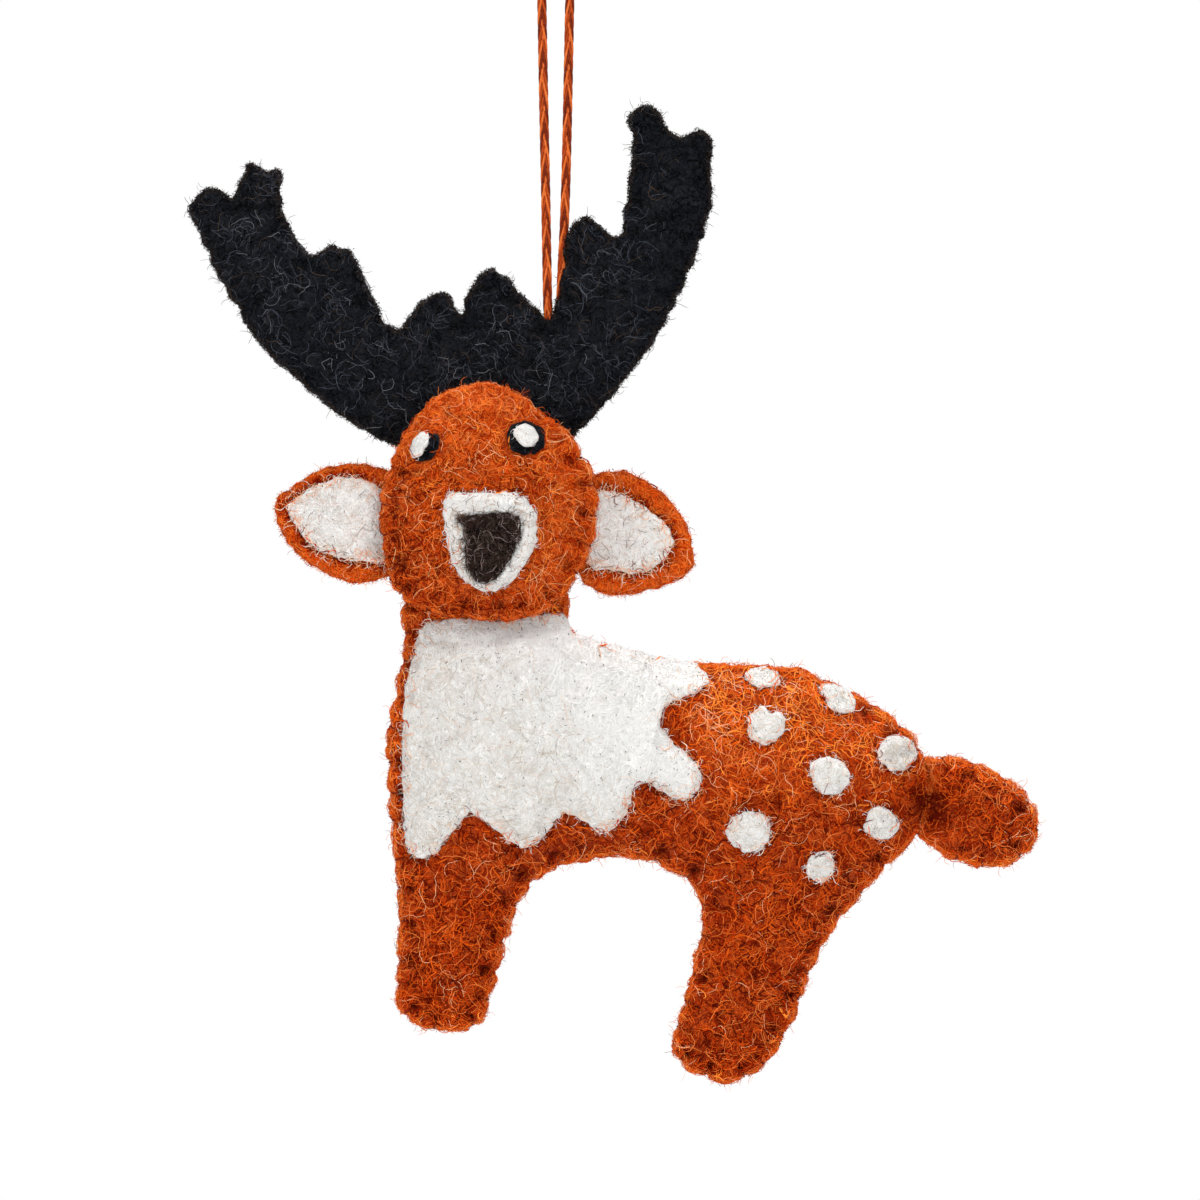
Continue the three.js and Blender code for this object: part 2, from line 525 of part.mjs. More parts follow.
const tailReach = tail.swell + tail.backSwell + 2 * feltThickness + cutOverrun;
const rump = prism(bodyForm.outline, -tailReach, tailReach);
rump.translate(seatGap - tailGroup.position.x, 0, -tailGroup.position.z);
addTo(tailGroup, 'tail_front_panel', without(tailForm.frontPanel, rump), rustFelt);
addTo(tailGroup, 'tail_back_panel', without(tailForm.backPanel, rump), rustFelt);
addTo(tailGroup, 'tail_filling', without(tailForm.fill, rump), filling);

export default ornament;
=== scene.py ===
"""Looks for a stuffed felt stag that hangs by a cord loop.

Lengths inside the script are millimetres in the row frame (+Z up, -Y the face of the ornament), and
every mesh is written in metres. Outlines, seam planes and how far each form is stuffed are read from
the CAD nodes, so each piece lies where its node does.
"""
import copy
import math

import bpy
import numpy as np
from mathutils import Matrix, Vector, geometry
from mathutils.kdtree import KDTree


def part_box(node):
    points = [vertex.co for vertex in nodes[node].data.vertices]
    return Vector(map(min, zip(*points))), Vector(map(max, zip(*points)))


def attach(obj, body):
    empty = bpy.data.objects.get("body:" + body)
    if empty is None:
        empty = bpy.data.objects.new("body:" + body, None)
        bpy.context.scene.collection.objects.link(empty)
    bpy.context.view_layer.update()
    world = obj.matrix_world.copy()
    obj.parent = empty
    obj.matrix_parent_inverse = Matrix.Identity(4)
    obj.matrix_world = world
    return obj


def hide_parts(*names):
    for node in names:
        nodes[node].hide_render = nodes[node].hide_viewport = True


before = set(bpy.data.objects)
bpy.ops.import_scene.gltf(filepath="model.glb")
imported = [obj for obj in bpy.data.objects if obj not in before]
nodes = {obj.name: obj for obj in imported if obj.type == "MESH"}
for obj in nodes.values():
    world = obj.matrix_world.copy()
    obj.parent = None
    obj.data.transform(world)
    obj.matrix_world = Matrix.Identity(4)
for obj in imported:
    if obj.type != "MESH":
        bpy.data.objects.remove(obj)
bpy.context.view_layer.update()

MM = 0.001
WELD = 0.02
FRONT, BACK = -1, 1

# The photograph: a long lens straight in front, so many millimetres of the cord's plane wide
VIEW_WIDTH = 141.2
VIEW_CENTRE = (5.06, -82.35)
LENS = 300
SENSOR = 36

# Felt: how thick it is, how far its edge is rounded, and how much of that shows as a cut. The cut is painted
# lighter, a painted rim light
FELT = 1.5
PATCH = 1.1
FELT_EDGE = 0.8
EAR_EDGE = 0.75
CUT_EDGE = 0.55

# The steps of outlines and of the grids over the object. A felt's mesh has rings of points close to its
# edge, and then it has a fine step in a band, a coarse step within, and the band's width
FIELD_STEP = 0.5
SKIN_STEP = 0.25
FORM_STEP = 0.36
PATCH_STEP = 0.3
FELT_RINGS = (0.05, 0.17, 0.36, 0.62, 0.92)
PATCH_RINGS = (0.05, 0.18, 0.4, 0.7)
FELT_MESH = (0.38, 0.75, 3.2)
PATCH_MESH = (0.34, 0.55, 2.5)
EAR_MESH = (0.34, 0.6, 2.4)

# How the felts lie: at a form's seam and over its filling, and a patch on its form
SEAM_GAP = 0.05
SEAM_MARGIN = 2.6
SEAM_SHOULDER = 1.0
SEWN_DEEP = 0.45
FILLING_MARGIN = 1.1
FILLING_BELOW = 0.75
PATCH_SEAT = 0.06
PATCH_RIM = 0.22
SPOT_ROUGH = 0.09
SPOT_LESS = 0.12

# The cloth simulation, and its share in a form's swell
CLOTH_STEP = 1.1
CLOTH_SCALE = 0.02
CLOTH_FRAMES = 20
CLOTH_QUALITY = 6
CLOTH_PRESSURE = 4
CLOTH_SHRINK = -0.05
CLOTH_SHARE = 0.45

# Stitches: how far apart and how far from the rim their holes are, and how they press the felt
STITCH_PITCH = 3.9
STITCH_DEEP = 1.45
STITCH_ASTRAY = 0.16
STITCH_PULLS = (0.55, 1.15)
RIM_OUT = 0.14
RIM_DRAWN = 0.55
GROOVE = 0.42
HOLE = 0.95
PUCKER = 0.34
MOST_PRESSED = 1.15
THREAD_RADIUS = 0.13
THREAD_DRAWN = 0.32
THREAD_DEPTHS = (1.55, 1.3, 1.0, 0.65, 0.3, 0.06)
THREAD_RISES = (-0.35, -0.10, -0.04, -0.02, -0.02, -0.04)

# The hanging cord's route, in the plane Y = 0, and what the cord is
BRAID_PITCH = 13.4
BRAID_STRANDS = 8
STRAND_RADIUS = 0.15
STRAND_OUT = 0.385
STRAND_OVER = 0.09
STRAND_TONES = [0.1, 0.5, 0.9, 0.5, 0.1, 0.9, 0.5, 0.9, 0.5, 0.1, 0.9, 0.1, 0.5, 0.9, 0.1, 0.5]
CORE_RADIUS = 0.38
KNOT_RADIUS = 0.42
CORD_ROUTE = [
    (-0.72, -51.2), (-0.95, -50.0), (-1.06, -48.4), (-1.20, -42.0), (-1.34, -34.0), (-1.52, -26.0),
    (-1.67, -18.0), (-1.80, -11.0), (-1.90, -6.4), (-2.20, -3.2), (-2.30, -1.8), (-1.99, -0.65),
    (-1.15, 0.19), (0, 0.5), (1.15, 0.19), (1.99, -0.65), (2.30, -1.8), (2.20, -3.2),
    (1.80, -6.4), (1.54, -11.0), (1.38, -18.0), (1.22, -26.0), (1.02, -34.0), (0.78, -40.0),
    (0.52, -45.0), (0.46, -48.4), (0.52, -50.0), (0.62, -51.2),
]

# Fibres: a matted layer of short ones, long curling ones over it, and hairs that stand off a rim
SHARE_MADE = 1.0
MATTED = {
    "points": 7, "radius": 0.082, "density": 2.8 * SHARE_MADE, "step": (0.26, 0.46),
    "curl": 0.75, "kink": 0.28, "stray": 0.75, "lift": 0.17,
}
LOOSE = {
    "points": 12, "radius": 0.041, "density": 1.2 * SHARE_MADE, "step": (0.24, 0.46),
    "curl": 0.42, "kink": 0.34, "stray": 1.3, "lift": 0.30,
}
SPECKS = {
    "points": 4, "radius": 0.052, "density": 0.46 * SHARE_MADE, "step": (0.08, 0.16),
    "curl": 0.5, "kink": 0.3, "stray": 1.0, "lift": 0.24,
}
SHORT_HAIR = {"points": 4, "radius": 0.048, "per_mm": 60 * SHARE_MADE, "long": (0.15, 0.45), "curl": 2.0}
LONG_HAIR = {"points": 7, "radius": 0.028, "per_mm": 1.3 * SHARE_MADE, "long": (0.7, 1.7), "curl": 1.1}
FRINGE = {"points": 6, "radius": 0.033, "per_mm": 6.0 * SHARE_MADE, "long": (0.4, 1.3), "curl": 2.4}
FINE_HAIR = {"points": 4, "radius": 0.036, "per_mm": 50 * SHARE_MADE, "long": (0.12, 0.40), "curl": 2.0}
# Short dark fibres in the pits round a patch's edge: painted shade in the pits
PITS = {"points": 4, "radius": 0.090, "per_mm": 1.0 * SHARE_MADE, "long": (0.18, 0.45), "curl": 2.0}
CREEPING = {"points": 8, "radius": 0.046, "per_mm": 1.7 * SHARE_MADE, "long": (0.8, 2.4), "curl": 1.3}
HAIR_KINK = 0.3
RIM_REACH = 1.6
ROOTED = -0.10
SHIFTS = (-0.85, 0.95)


# Camera

camera_data = bpy.data.cameras.new("camera")
camera_data.lens = LENS
camera_data.sensor_width = SENSOR
camera_data.clip_start = 0.05
camera_data.clip_end = 20
camera = bpy.data.objects.new("camera", camera_data)
camera.location = (
    VIEW_CENTRE[0] * MM,
    -VIEW_WIDTH * MM * LENS / SENSOR,
    VIEW_CENTRE[1] * MM,
)
camera.rotation_euler = (math.pi / 2, 0, 0)
bpy.context.scene.collection.objects.link(camera)
bpy.context.scene.camera = camera


# Materials


def linear(red, green, blue):
    """A colour of 0 to 255 as the linear values that a shader takes."""
    parts = (c / 255 for c in (red, green, blue))
    return tuple(((c + 0.055) / 1.055) ** 2.4 if c > 10 / 255 else c / 12.92 for c in parts) + (1,)


def new_material(name, **inputs):
    """A material with its shader's inputs set. Their names are written with _ for a space."""
    material = bpy.data.materials.new(name)
    material.use_nodes = True
    tree = material.node_tree
    shader = tree.nodes["Principled BSDF"]
    for key, value in inputs.items():
        shader.inputs[key.replace("_", " ")].default_value = value
    return material, tree, shader


def add(tree, kind, **values):
    """A node of that kind. Each value goes to the input of that name, or else to the property."""
    node = tree.nodes.new(kind)
    for key, value in values.items():
        if key in node.inputs:
            node.inputs[key].default_value = value
        else:
            setattr(node, key, value)
    return node


def vector_mathed(tree, operation, vector, other):
    """A vector math node's output, from another node's output and three numbers."""
    node = add(tree, "ShaderNodeVectorMath", operation=operation)
    node.inputs[1].default_value = other
    tree.links.new(vector, node.inputs[0])
    return node.outputs[0]


def scaled_noise(tree, where, scale, detail=2.0, distortion=0.0, shift=0.0):
    """Noise of so many cells a metre. shift moves it, so that two noises aren't alike."""
    moved = vector_mathed(tree, "ADD", where, (shift, shift * 0.37, -shift * 0.71))
    noise = add(tree, "ShaderNodeTexNoise", Scale=scale, Detail=detail, Distortion=distortion)
    tree.links.new(moved, noise.inputs["Vector"])
    return noise.outputs["Fac"]


def mathed(tree, operation, *inputs, clamp=False):
    """A math node's output. Each input is a number or another node's output."""
    node = add(tree, "ShaderNodeMath", operation=operation, use_clamp=clamp)
    for i, value in enumerate(inputs):
        if isinstance(value, (int, float)):
            node.inputs[i].default_value = value
        else:
            tree.links.new(value, node.inputs[i])
    return node.outputs[0]


def mixed(tree, share, first, second):
    """The colour that lies that share of the way from the first to the second."""
    node = add(tree, "ShaderNodeMix", data_type="RGBA")
    tree.links.new(share, node.inputs["Factor"])
    for socket, value in ((node.inputs[6], first), (node.inputs[7], second)):
        if isinstance(value, tuple):
            socket.default_value = value
        else:
            tree.links.new(value, socket)
    return node.outputs[2]


def threads(tree, where, scale, width, shift):
    """A mask of thin curling lines, where a noise passes its middle value."""
    noise = scaled_noise(tree, where, scale, detail=1.0, distortion=1.6, shift=shift)
    away = mathed(tree, "ABSOLUTE", mathed(tree, "SUBTRACT", noise, 0.5))
    return mathed(tree, "SUBTRACT", 1.0, mathed(tree, "DIVIDE", away, width, clamp=True))


def bumped(tree, shader, height, strength, distance):
    """Gives a shader a relief of that depth, in metres."""
    bump = add(tree, "ShaderNodeBump", Strength=strength, Distance=distance)
    tree.links.new(height, bump.inputs["Height"])
    tree.links.new(bump.outputs[0], shader.inputs["Normal"])


def felt_material(name, deep, base, light, sheen=0.03, even=0.0):
    """Pressed wool: a dark ground between curling fibres, in three tones, with a soft sheen. It is painted
    darkest where a stitch has pressed it, a painted shade in the hole and groove, which is the mesh's own
    attribute."""
    deep, base, light = (linear(*tone) for tone in (deep, base, light))
    material, tree, shader = new_material(
        name, Sheen_Weight=sheen, Sheen_Roughness=0.45, Sheen_Tint=light, Specular_IOR_Level=0.12,
    )

    def maths(operation, *inputs, **options):
        return mathed(tree, operation, *inputs, **options)

    where = add(tree, "ShaderNodeTexCoord").outputs["Object"]
    patchy = scaled_noise(tree, where, 170, detail=3.0, shift=0.3)
    grain = scaled_noise(tree, where, 2300, detail=2.0, shift=0.9)
    broad = threads(tree, where, 640, 0.050, 0.11)
    middling = threads(tree, where, 900, 0.055, 0.57)
    thin = threads(tree, where, 1250, 0.070, 1.03)
    under = threads(tree, where, 1700, 0.110, 1.71)
    top = maths("MAXIMUM", maths("MAXIMUM", broad, middling), thin)
    ground = maths("ADD", maths("MULTIPLY", under, 0.55), maths("MULTIPLY", grain, 0.45))
    ground = maths("ADD", ground, maths("MULTIPLY", maths("SUBTRACT", patchy, 0.5), 0.9))
    ground = maths("ADD", ground, even, clamp=True)
    colour = mixed(tree, ground, deep, base)
    shine = maths("MULTIPLY", top, maths("ADD", patchy, 0.25, clamp=True))
    colour = mixed(tree, shine, colour, light)
    # Painted shade: darker where a stitch presses the felt, by the mesh's attribute
    pressed = add(tree, "ShaderNodeAttribute", attribute_name="pressed").outputs["Fac"]
    colour = mixed(tree, pressed, colour, tuple(0.45 * c for c in deep[:3]) + (1,))
    tree.links.new(colour, shader.inputs["Base Color"])
    rough = maths("ADD", maths("MULTIPLY", grain, 0.2), 0.76, clamp=True)
    tree.links.new(rough, shader.inputs["Roughness"])
    height = maths("ADD", maths("MULTIPLY", top, 0.6), maths("MULTIPLY", under, 0.35))
    height = maths("ADD", height, maths("MULTIPLY", grain, 0.5))
    bumped(tree, shader, height, 0.9, 0.00022)
    return material


def fibre_material(name, colour):
    """One wool fibre. A tangle takes several of these, each of its own tone."""
    return new_material(name, Base_Color=linear(*colour), Roughness=0.75, Specular_IOR_Level=0.04)[0]


def cord_material(name, deep, base, light):
    """Waxed strands: fine filaments along them, a little gloss."""
    deep, base, light = (linear(*tone) for tone in (deep, base, light))
    material, tree, shader = new_material(name, Specular_IOR_Level=0.12)
    where = add(tree, "ShaderNodeTexCoord").outputs["Object"]
    stretched = vector_mathed(tree, "MULTIPLY", where, (1, 1, 0.22))
    filaments = scaled_noise(tree, stretched, 6500, detail=2.0, shift=0.2)
    patchy = scaled_noise(tree, where, 420, detail=2.0, shift=0.6)
    colour = mixed(tree, filaments, deep, base)
    colour = mixed(tree, mathed(tree, "MULTIPLY", patchy, filaments), colour, light)
    tree.links.new(colour, shader.inputs["Base Color"])
    rough = mathed(tree, "ADD", mathed(tree, "MULTIPLY", filaments, 0.3), 0.42)
    tree.links.new(rough, shader.inputs["Roughness"])
    bumped(tree, shader, filaments, 0.5, 0.00005)
    return material


def tones(kind, **rows):
    """A tangle's fibres from its lightest tone to its darkest: a colour, and how often it is found."""
    made = []
    for tone, (*colour, share) in rows.items():
        name = kind if tone == "plain" else f"{kind}_{tone}"
        made.append((fibre_material(name, colour), share))
    return made


# Felts, with their dark ground, their middle tone and the light fibres on it
RUST = felt_material("rust_wool", (112, 22, 1), (160, 44, 3), (222, 90, 22))
RUST_FACE = felt_material("rust_face_wool", (108, 23, 1), (196, 60, 5), (242, 112, 36))
# The rust felt's cut edge: painted much lighter than the face, a painted rim light
RUST_CUT_PAINTED_LIGHT = felt_material("rust_cut_edge_painted_light", (186, 58, 5), (234, 94, 15), (250, 130, 46), even=0.3)
BLACK = felt_material("black_wool", (3, 3, 5), (11, 12, 15), (42, 43, 48), sheen=0.02)
# The black felt's cut edge: browner, and painted lighter than the face as a painted rim light
BLACK_CUT_PAINTED_LIGHT = felt_material("black_cut_edge_painted_light", (8, 6, 6), (28, 24, 23), (66, 56, 50), sheen=0.02)
WHITE = felt_material("white_wool", (226, 222, 217), (248, 246, 243), (255, 254, 252), even=0.35)
EAR = felt_material("rust_ear_wool", (146, 32, 1), (206, 70, 8), (240, 116, 36))
BROWN = felt_material("brown_wool", (14, 8, 5), (34, 24, 19), (84, 70, 62), sheen=0.02)
STUFFING = felt_material("stuffing_wool", (196, 192, 182), (238, 235, 226), (252, 250, 244))
CORD_LIGHT = cord_material("waxed_strand_light", (164, 54, 6), (214, 94, 28), (246, 146, 74))
CORD = cord_material("waxed_strand", (104, 25, 1), (168, 58, 8), (206, 92, 28))
CORD_DEEP = cord_material("waxed_strand_deep", (60, 10, 0), (112, 30, 2), (152, 54, 10))
RUST_THREAD = cord_material("rust_thread", (78, 14, 0), (118, 28, 1), (156, 52, 8))
BLACK_THREAD = cord_material("black_thread", (4, 4, 5), (12, 12, 14), (34, 34, 38))

# Fibres
RUST_MATTED = tones(
    "rust_matted", gold=(255, 146, 54, 0.07), light=(228, 94, 20, 0.16), mid=(190, 60, 7, 0.29),
    deep=(142, 32, 1, 0.25), dark=(90, 13, 0, 0.23),
)
RUST_LOOSE = tones(
    "rust_loose", gold=(246, 140, 60, 0.10), peach=(250, 180, 134, 0.07), light=(242, 128, 60, 0.25),
    mid=(224, 92, 23, 0.37), deep=(122, 26, 0, 0.21),
)
FACE_LOOSE = tones(
    "face_loose", gold=(246, 134, 54, 0.12), peach=(252, 186, 130, 0.11), light=(246, 134, 62, 0.24),
    mid=(230, 96, 24, 0.29), deep=(112, 22, 0, 0.24),
)
EAR_MATTED = tones(
    "ear_matted", light=(238, 110, 32, 0.30), mid=(220, 80, 12, 0.34), deep=(180, 44, 3, 0.20),
    dark=(134, 20, 0, 0.16),
)
BLACK_MATTED = tones(
    "black_matted", light=(32, 36, 43, 0.15), plain=(14, 16, 21, 0.38), dark=(3, 4, 7, 0.47),
)
BLACK_LOOSE = tones(
    "black_loose", pale=(124, 126, 132, 0.05), light=(80, 84, 94, 0.26), brown=(84, 68, 56, 0.04),
    plain=(33, 36, 43, 0.65),
)
WHITE_MATTED = tones(
    "white_matted", light=(253, 253, 251, 0.42), plain=(239, 236, 231, 0.36), grey=(223, 217, 209, 0.18),
    warm=(210, 196, 181, 0.04),
)
LINING_MATTED = tones(
    "lining_matted", light=(255, 253, 250, 0.42), plain=(240, 229, 222, 0.32), warm=(218, 202, 192, 0.21),
    dark=(150, 134, 124, 0.05),
)
MUZZLE_MATTED = tones(
    "muzzle_matted", light=(255, 255, 254, 0.50), plain=(244, 240, 235, 0.26), warm=(204, 180, 160, 0.14),
    brown=(112, 78, 56, 0.10),
)
WHITE_LOOSE = tones(
    "white_loose", light=(255, 255, 254, 0.80), peach=(246, 222, 204, 0.04), grey=(222, 216, 209, 0.15),
    dark=(160, 146, 134, 0.004),
)
BLACK_RIM = tones(
    "black_rim", light=(82, 76, 76, 0.08), brown=(58, 44, 38, 0.42), deep=(24, 20, 20, 0.50),
)
# Dark fibres in the pits round a patch and along an ear's lining: painted shade
PIT_SHADE = tones("pit", red=(86, 8, 0, 0.7), dark=(34, 8, 4, 0.3))
PALE_LOOSE = tones("pale_loose", light=(250, 228, 208, 0.55), peach=(244, 186, 146, 0.45))
SPECK = tones("brown_speck", plain=(114, 100, 90, 0.6)) + tones("dark_speck", plain=(74, 65, 60, 0.4))
BROWN_MATTED = tones("brown_matted", plain=(54, 37, 31, 0.38), dark=(11, 7, 7, 0.62))
BROWN_LOOSE = tones("brown_loose", pale=(152, 134, 130, 0.22), mid=(58, 44, 38, 0.78))


# Meshes


def new_piece(name, points, triangles, materials, shares=None, replaced=(), pressed=None):
    """An object of those triangles. points are in millimetres, shares is a material's number for each
    triangle, and pressed is how far stitches press the felt at each point, from 0 to 1, which the felt's
    material paints as shade."""
    mesh = bpy.data.meshes.new(name)
    mesh.vertices.add(len(points))
    mesh.vertices.foreach_set("co", (np.asarray(points) * MM).astype(np.float32).ravel())
    mesh.loops.add(3 * len(triangles))
    mesh.loops.foreach_set("vertex_index", np.asarray(triangles, np.int32).ravel())
    mesh.polygons.add(len(triangles))
    mesh.polygons.foreach_set("loop_start", np.arange(0, 3 * len(triangles), 3, dtype=np.int32))
    for material in materials:
        mesh.materials.append(material)
    if shares is not None:
        mesh.polygons.foreach_set("material_index", np.asarray(shares, np.int32))
    mesh.polygons.foreach_set("use_smooth", np.ones(len(triangles), bool))
    if pressed is not None:
        kept = mesh.attributes.new("pressed", "FLOAT", "POINT")
        kept.data.foreach_set("value", np.clip(pressed, 0, 1).astype(np.float32))
    mesh.update(calc_edges=True)
    piece = bpy.data.objects.new(name, mesh)
    bpy.context.scene.collection.objects.link(piece)
    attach(piece, "root")
    if replaced:
        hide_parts(*replaced)
    return piece


def corners_of(name):
    """A CAD node's triangles as an array of corner points, in millimetres."""
    mesh = nodes[name].data
    mesh.calc_loop_triangles()
    points = np.empty(3 * len(mesh.vertices))
    mesh.vertices.foreach_get("co", points)
    triangles = np.empty(3 * len(mesh.loop_triangles), int)
    mesh.loop_triangles.foreach_get("vertices", triangles)
    return (points.reshape(-1, 3) / MM)[triangles].reshape(-1, 3, 3)


def box_of(name):
    low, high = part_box(name)
    return np.array(low) / MM, np.array(high) / MM


def seen_outline(name, side=FRONT):
    """The outline of a node's front or back face, seen along Y, anticlockwise from the front."""
    corners = corners_of(name)
    normals = np.cross(corners[:, 1] - corners[:, 0], corners[:, 2] - corners[:, 0])
    facing = corners[normals[:, 1] * side > 0.05 * np.linalg.norm(normals, axis=1)][:, :, [0, 2]]
    keys = np.round(facing.reshape(-1, 2) / WELD).astype(int)
    keys, numbers = np.unique(keys, axis=0, return_inverse=True)
    numbers = numbers.reshape(-1, 3)
    whole = (numbers != np.roll(numbers, 1, axis=1)).all(1)
    edges = {(int(t[k]), int(t[(k + 1) % 3])) for t in numbers[whole] for k in range(3)}
    after = {a: b for a, b in edges if (b, a) not in edges}
    best, left = [], set(after)
    while left:
        start = at = left.pop()
        loop = [at]
        while after.get(at) in left:
            at = after[at]
            left.discard(at)
            loop.append(at)
        if after.get(at) == start and len(loop) > len(best):
            best = loop
    outline = keys[best] * WELD
    return outline if area_of(outline) > 0 else outline[::-1]


def area_of(loop):
    after = np.roll(loop, -1, axis=0)
    return float((loop[:, 0] * after[:, 1] - after[:, 0] * loop[:, 1]).sum() / 2)


def evenly(points, step, closed=True):
    """Points a step apart along a line through the given ones, which is rounded between them."""
    points = np.asarray(points, float)
    if closed:
        gaps = np.linalg.norm(np.roll(points, -1, axis=0) - points, axis=1)
        points = points[gaps > 0.15]
        padded = np.concatenate([points[-1:], points, points[:2]])
    else:
        padded = np.concatenate([2 * points[:1] - points[1:2], points, 2 * points[-1:] - points[-2:-1]])
    fine = []
    for a, b, c, d in zip(padded, padded[1:], padded[2:], padded[3:]):
        ab, bc, cd = (max(1e-6, np.linalg.norm(q - p) ** 0.5) for p, q in ((a, b), (b, c), (c, d)))
        t = np.linspace(0, 1, 12, endpoint=False)[:, None]
        leave = bc * ((b - a) / ab - (c - a) / (ab + bc) + (c - b) / bc)
        enter = bc * ((c - b) / bc - (d - b) / (bc + cd) + (d - c) / cd)
        fine.append(
            (2 * t**3 - 3 * t**2 + 1) * b + (t**3 - 2 * t**2 + t) * leave
            + (3 * t**2 - 2 * t**3) * c + (t**3 - t**2) * enter
        )
    fine = np.concatenate(fine + [points[:1] if closed else points[-1:]])
    along = np.concatenate([[0], np.cumsum(np.linalg.norm(np.diff(fine, axis=0), axis=1))])
    count = max(8, round(along[-1] / step))
    at = np.linspace(0, along[-1], count + 1)
    even = np.stack([np.interp(at, along, fine[:, k]) for k in range(fine.shape[1])], axis=1)
    return even[:-1] if closed else even


def normals_of(loop):
    """The outward direction at each point of an anticlockwise loop."""
    along = np.roll(loop, -1, axis=0) - np.roll(loop, 1, axis=0)
    out = np.stack([along[:, 1], -along[:, 0]], axis=1)
    return out / np.linalg.norm(out, axis=1, keepdims=True)


def length_of(loop):
    return float(np.linalg.norm(np.roll(loop, -1, axis=0) - loop, axis=1).sum())


def tree_of(places, each=1):
    """A tree that finds the nearest of some places, and numbers them in groups of that many."""
    tree = KDTree(len(places))
    for index, (x, z) in enumerate(places.tolist()):
        tree.insert((x, z, 0), index // each)
    tree.balance()
    return tree


SEARCHES = {}
SEARCH_SPLIT = 4


def search_of(loop):
    """A tree of the points along a loop, a few to each of its steps. Each loop's is made once."""
    if id(loop) not in SEARCHES:
        shares = np.arange(SEARCH_SPLIT) / SEARCH_SPLIT
        after = np.roll(loop, -1, axis=0)
        close = loop[:, None, :] * (1 - shares)[:, None] + after[:, None, :] * shares[:, None]
        SEARCHES[id(loop)] = (loop, tree_of(close.reshape(-1, 2), SEARCH_SPLIT))
    return SEARCHES[id(loop)][1]


def measured(loop, points):
    """How far inside a loop each point is, how far along the loop its nearest point is, and which way
    is out there."""
    find = search_of(loop).find
    near = np.array([find((x, z, 0))[1] for x, z in points.tolist()])
    after = np.roll(loop, -1, axis=0)
    step = after - loop
    lengths = np.linalg.norm(step, axis=1)
    before = np.concatenate([[0], np.cumsum(lengths)[:-1]])
    corner = normals_of(loop)
    best = np.full(len(points), np.inf)
    inside, along = np.zeros(len(points)), np.zeros(len(points))
    out = np.zeros((len(points), 2))
    for offset in (0, -1, 1):
        k = (near + offset) % len(loop)
        n = (k + 1) % len(loop)
        away = points - loop[k]
        share = np.clip((away * step[k]).sum(1) / lengths[k] ** 2, 0, 1)
        gap = away - share[:, None] * step[k]
        distance = np.linalg.norm(gap, axis=1)
        way = corner[k] * (1 - share)[:, None] + corner[n] * share[:, None]
        nearer = distance < best - 1e-9
        best = np.where(nearer, distance, best)
        inside = np.where(nearer, np.where((gap * way).sum(1) > 0, -distance, distance), inside)
        along = np.where(nearer, before[k] + share * lengths[k], along)
        out = np.where(nearer[:, None], way, out)
    return inside, along, out / np.maximum(np.linalg.norm(out, axis=1, keepdims=True), 1e-9)


def inside_of(loop, points):
    return measured(loop, points)[0]


def hexed(low, high, step):
    """A staggered grid of points over a box."""
    rows = np.arange(low[1], high[1], step * math.sin(math.pi / 3))
    columns = np.arange(low[0], high[0], step)
    x, y = np.meshgrid(columns, rows)
    x = x + np.where(np.arange(len(rows)) % 2, step / 2, 0)[:, None]
    return np.stack([x.ravel(), y.ravel()], axis=1)


def sheet_of(loop, rings, fine, coarse, band):
    """Triangles that fill a loop: rows of points just inside it, fine ones in a band, coarse ones within."""
    out = normals_of(loop)
    found = [loop]
    for ring in rings:
        row = loop - out * ring
        inside = inside_of(loop, row)
        found.append(row[inside > 0.9 * ring])
    low, high = loop.min(0), loop.max(0)
    edge = (rings[-1] if len(rings) else 0) + 0.7 * fine
    if fine < coarse:
        points = hexed(low, high, fine)
        inside = inside_of(loop, points)
        found.append(points[(inside > edge) & (inside < band)])
        edge = band + 0.4 * (fine + coarse)
    points = hexed(low, high, coarse)
    inside = inside_of(loop, points)
    found.append(points[inside > edge])
    points = np.concatenate(found)
    rim = len(loop)
    edges = [(i, (i + 1) % rim) for i in range(rim)]
    made = geometry.delaunay_2d_cdt([Vector(p) for p in points], edges, [], 1, 1e-5)
    flat = np.array([tuple(p) for p in made[0]])
    triangles = np.array([tuple(t) for t in made[2]])
    on_rim = np.array([any(k < rim for k in origin) for origin in made[3]])
    a, b, c = (flat[triangles[:, k]] for k in range(3))
    turn = (b[:, 0] - a[:, 0]) * (c[:, 1] - a[:, 1]) - (b[:, 1] - a[:, 1]) * (c[:, 0] - a[:, 0])
    triangles[turn < 0] = triangles[turn < 0][:, ::-1]
    return flat, triangles, on_rim


def grid_over(low, high, step):
    """A grid of points over a box, row by row, and how many rows and columns it has."""
    columns, rows = (np.ceil((high - low) / step).astype(int) + 1).tolist()
    x, z = np.meshgrid(low[0] + step * np.arange(columns), low[1] + step * np.arange(rows))
    return np.stack([x.ravel(), z.ravel()], axis=1), (rows, columns)


def grid_value(grid, low, step, points):
    """What a grid over a box says at any points, which lie between the grid's own."""
    rows, columns = grid.shape
    x = np.clip((points[:, 0] - low[0]) / step, 0, columns - 1.001)
    z = np.clip((points[:, 1] - low[1]) / step, 0, rows - 1.001)
    c, r = x.astype(int), z.astype(int)
    x, z = x - c, z - r
    below = (1 - x) * grid[r, c] + x * grid[r, c + 1]
    above = (1 - x) * grid[r + 1, c] + x * grid[r + 1, c + 1]
    return (1 - z) * below + z * above


def smoothstep(value, low, high):
    t = np.clip((value - low) / (high - low), 0, 1)
    return t * t * (3 - 2 * t)


def bell(value, width):
    """1 where a value is 0, fading to 0 on both sides over that width."""
    return np.exp(-((value / width) ** 2))


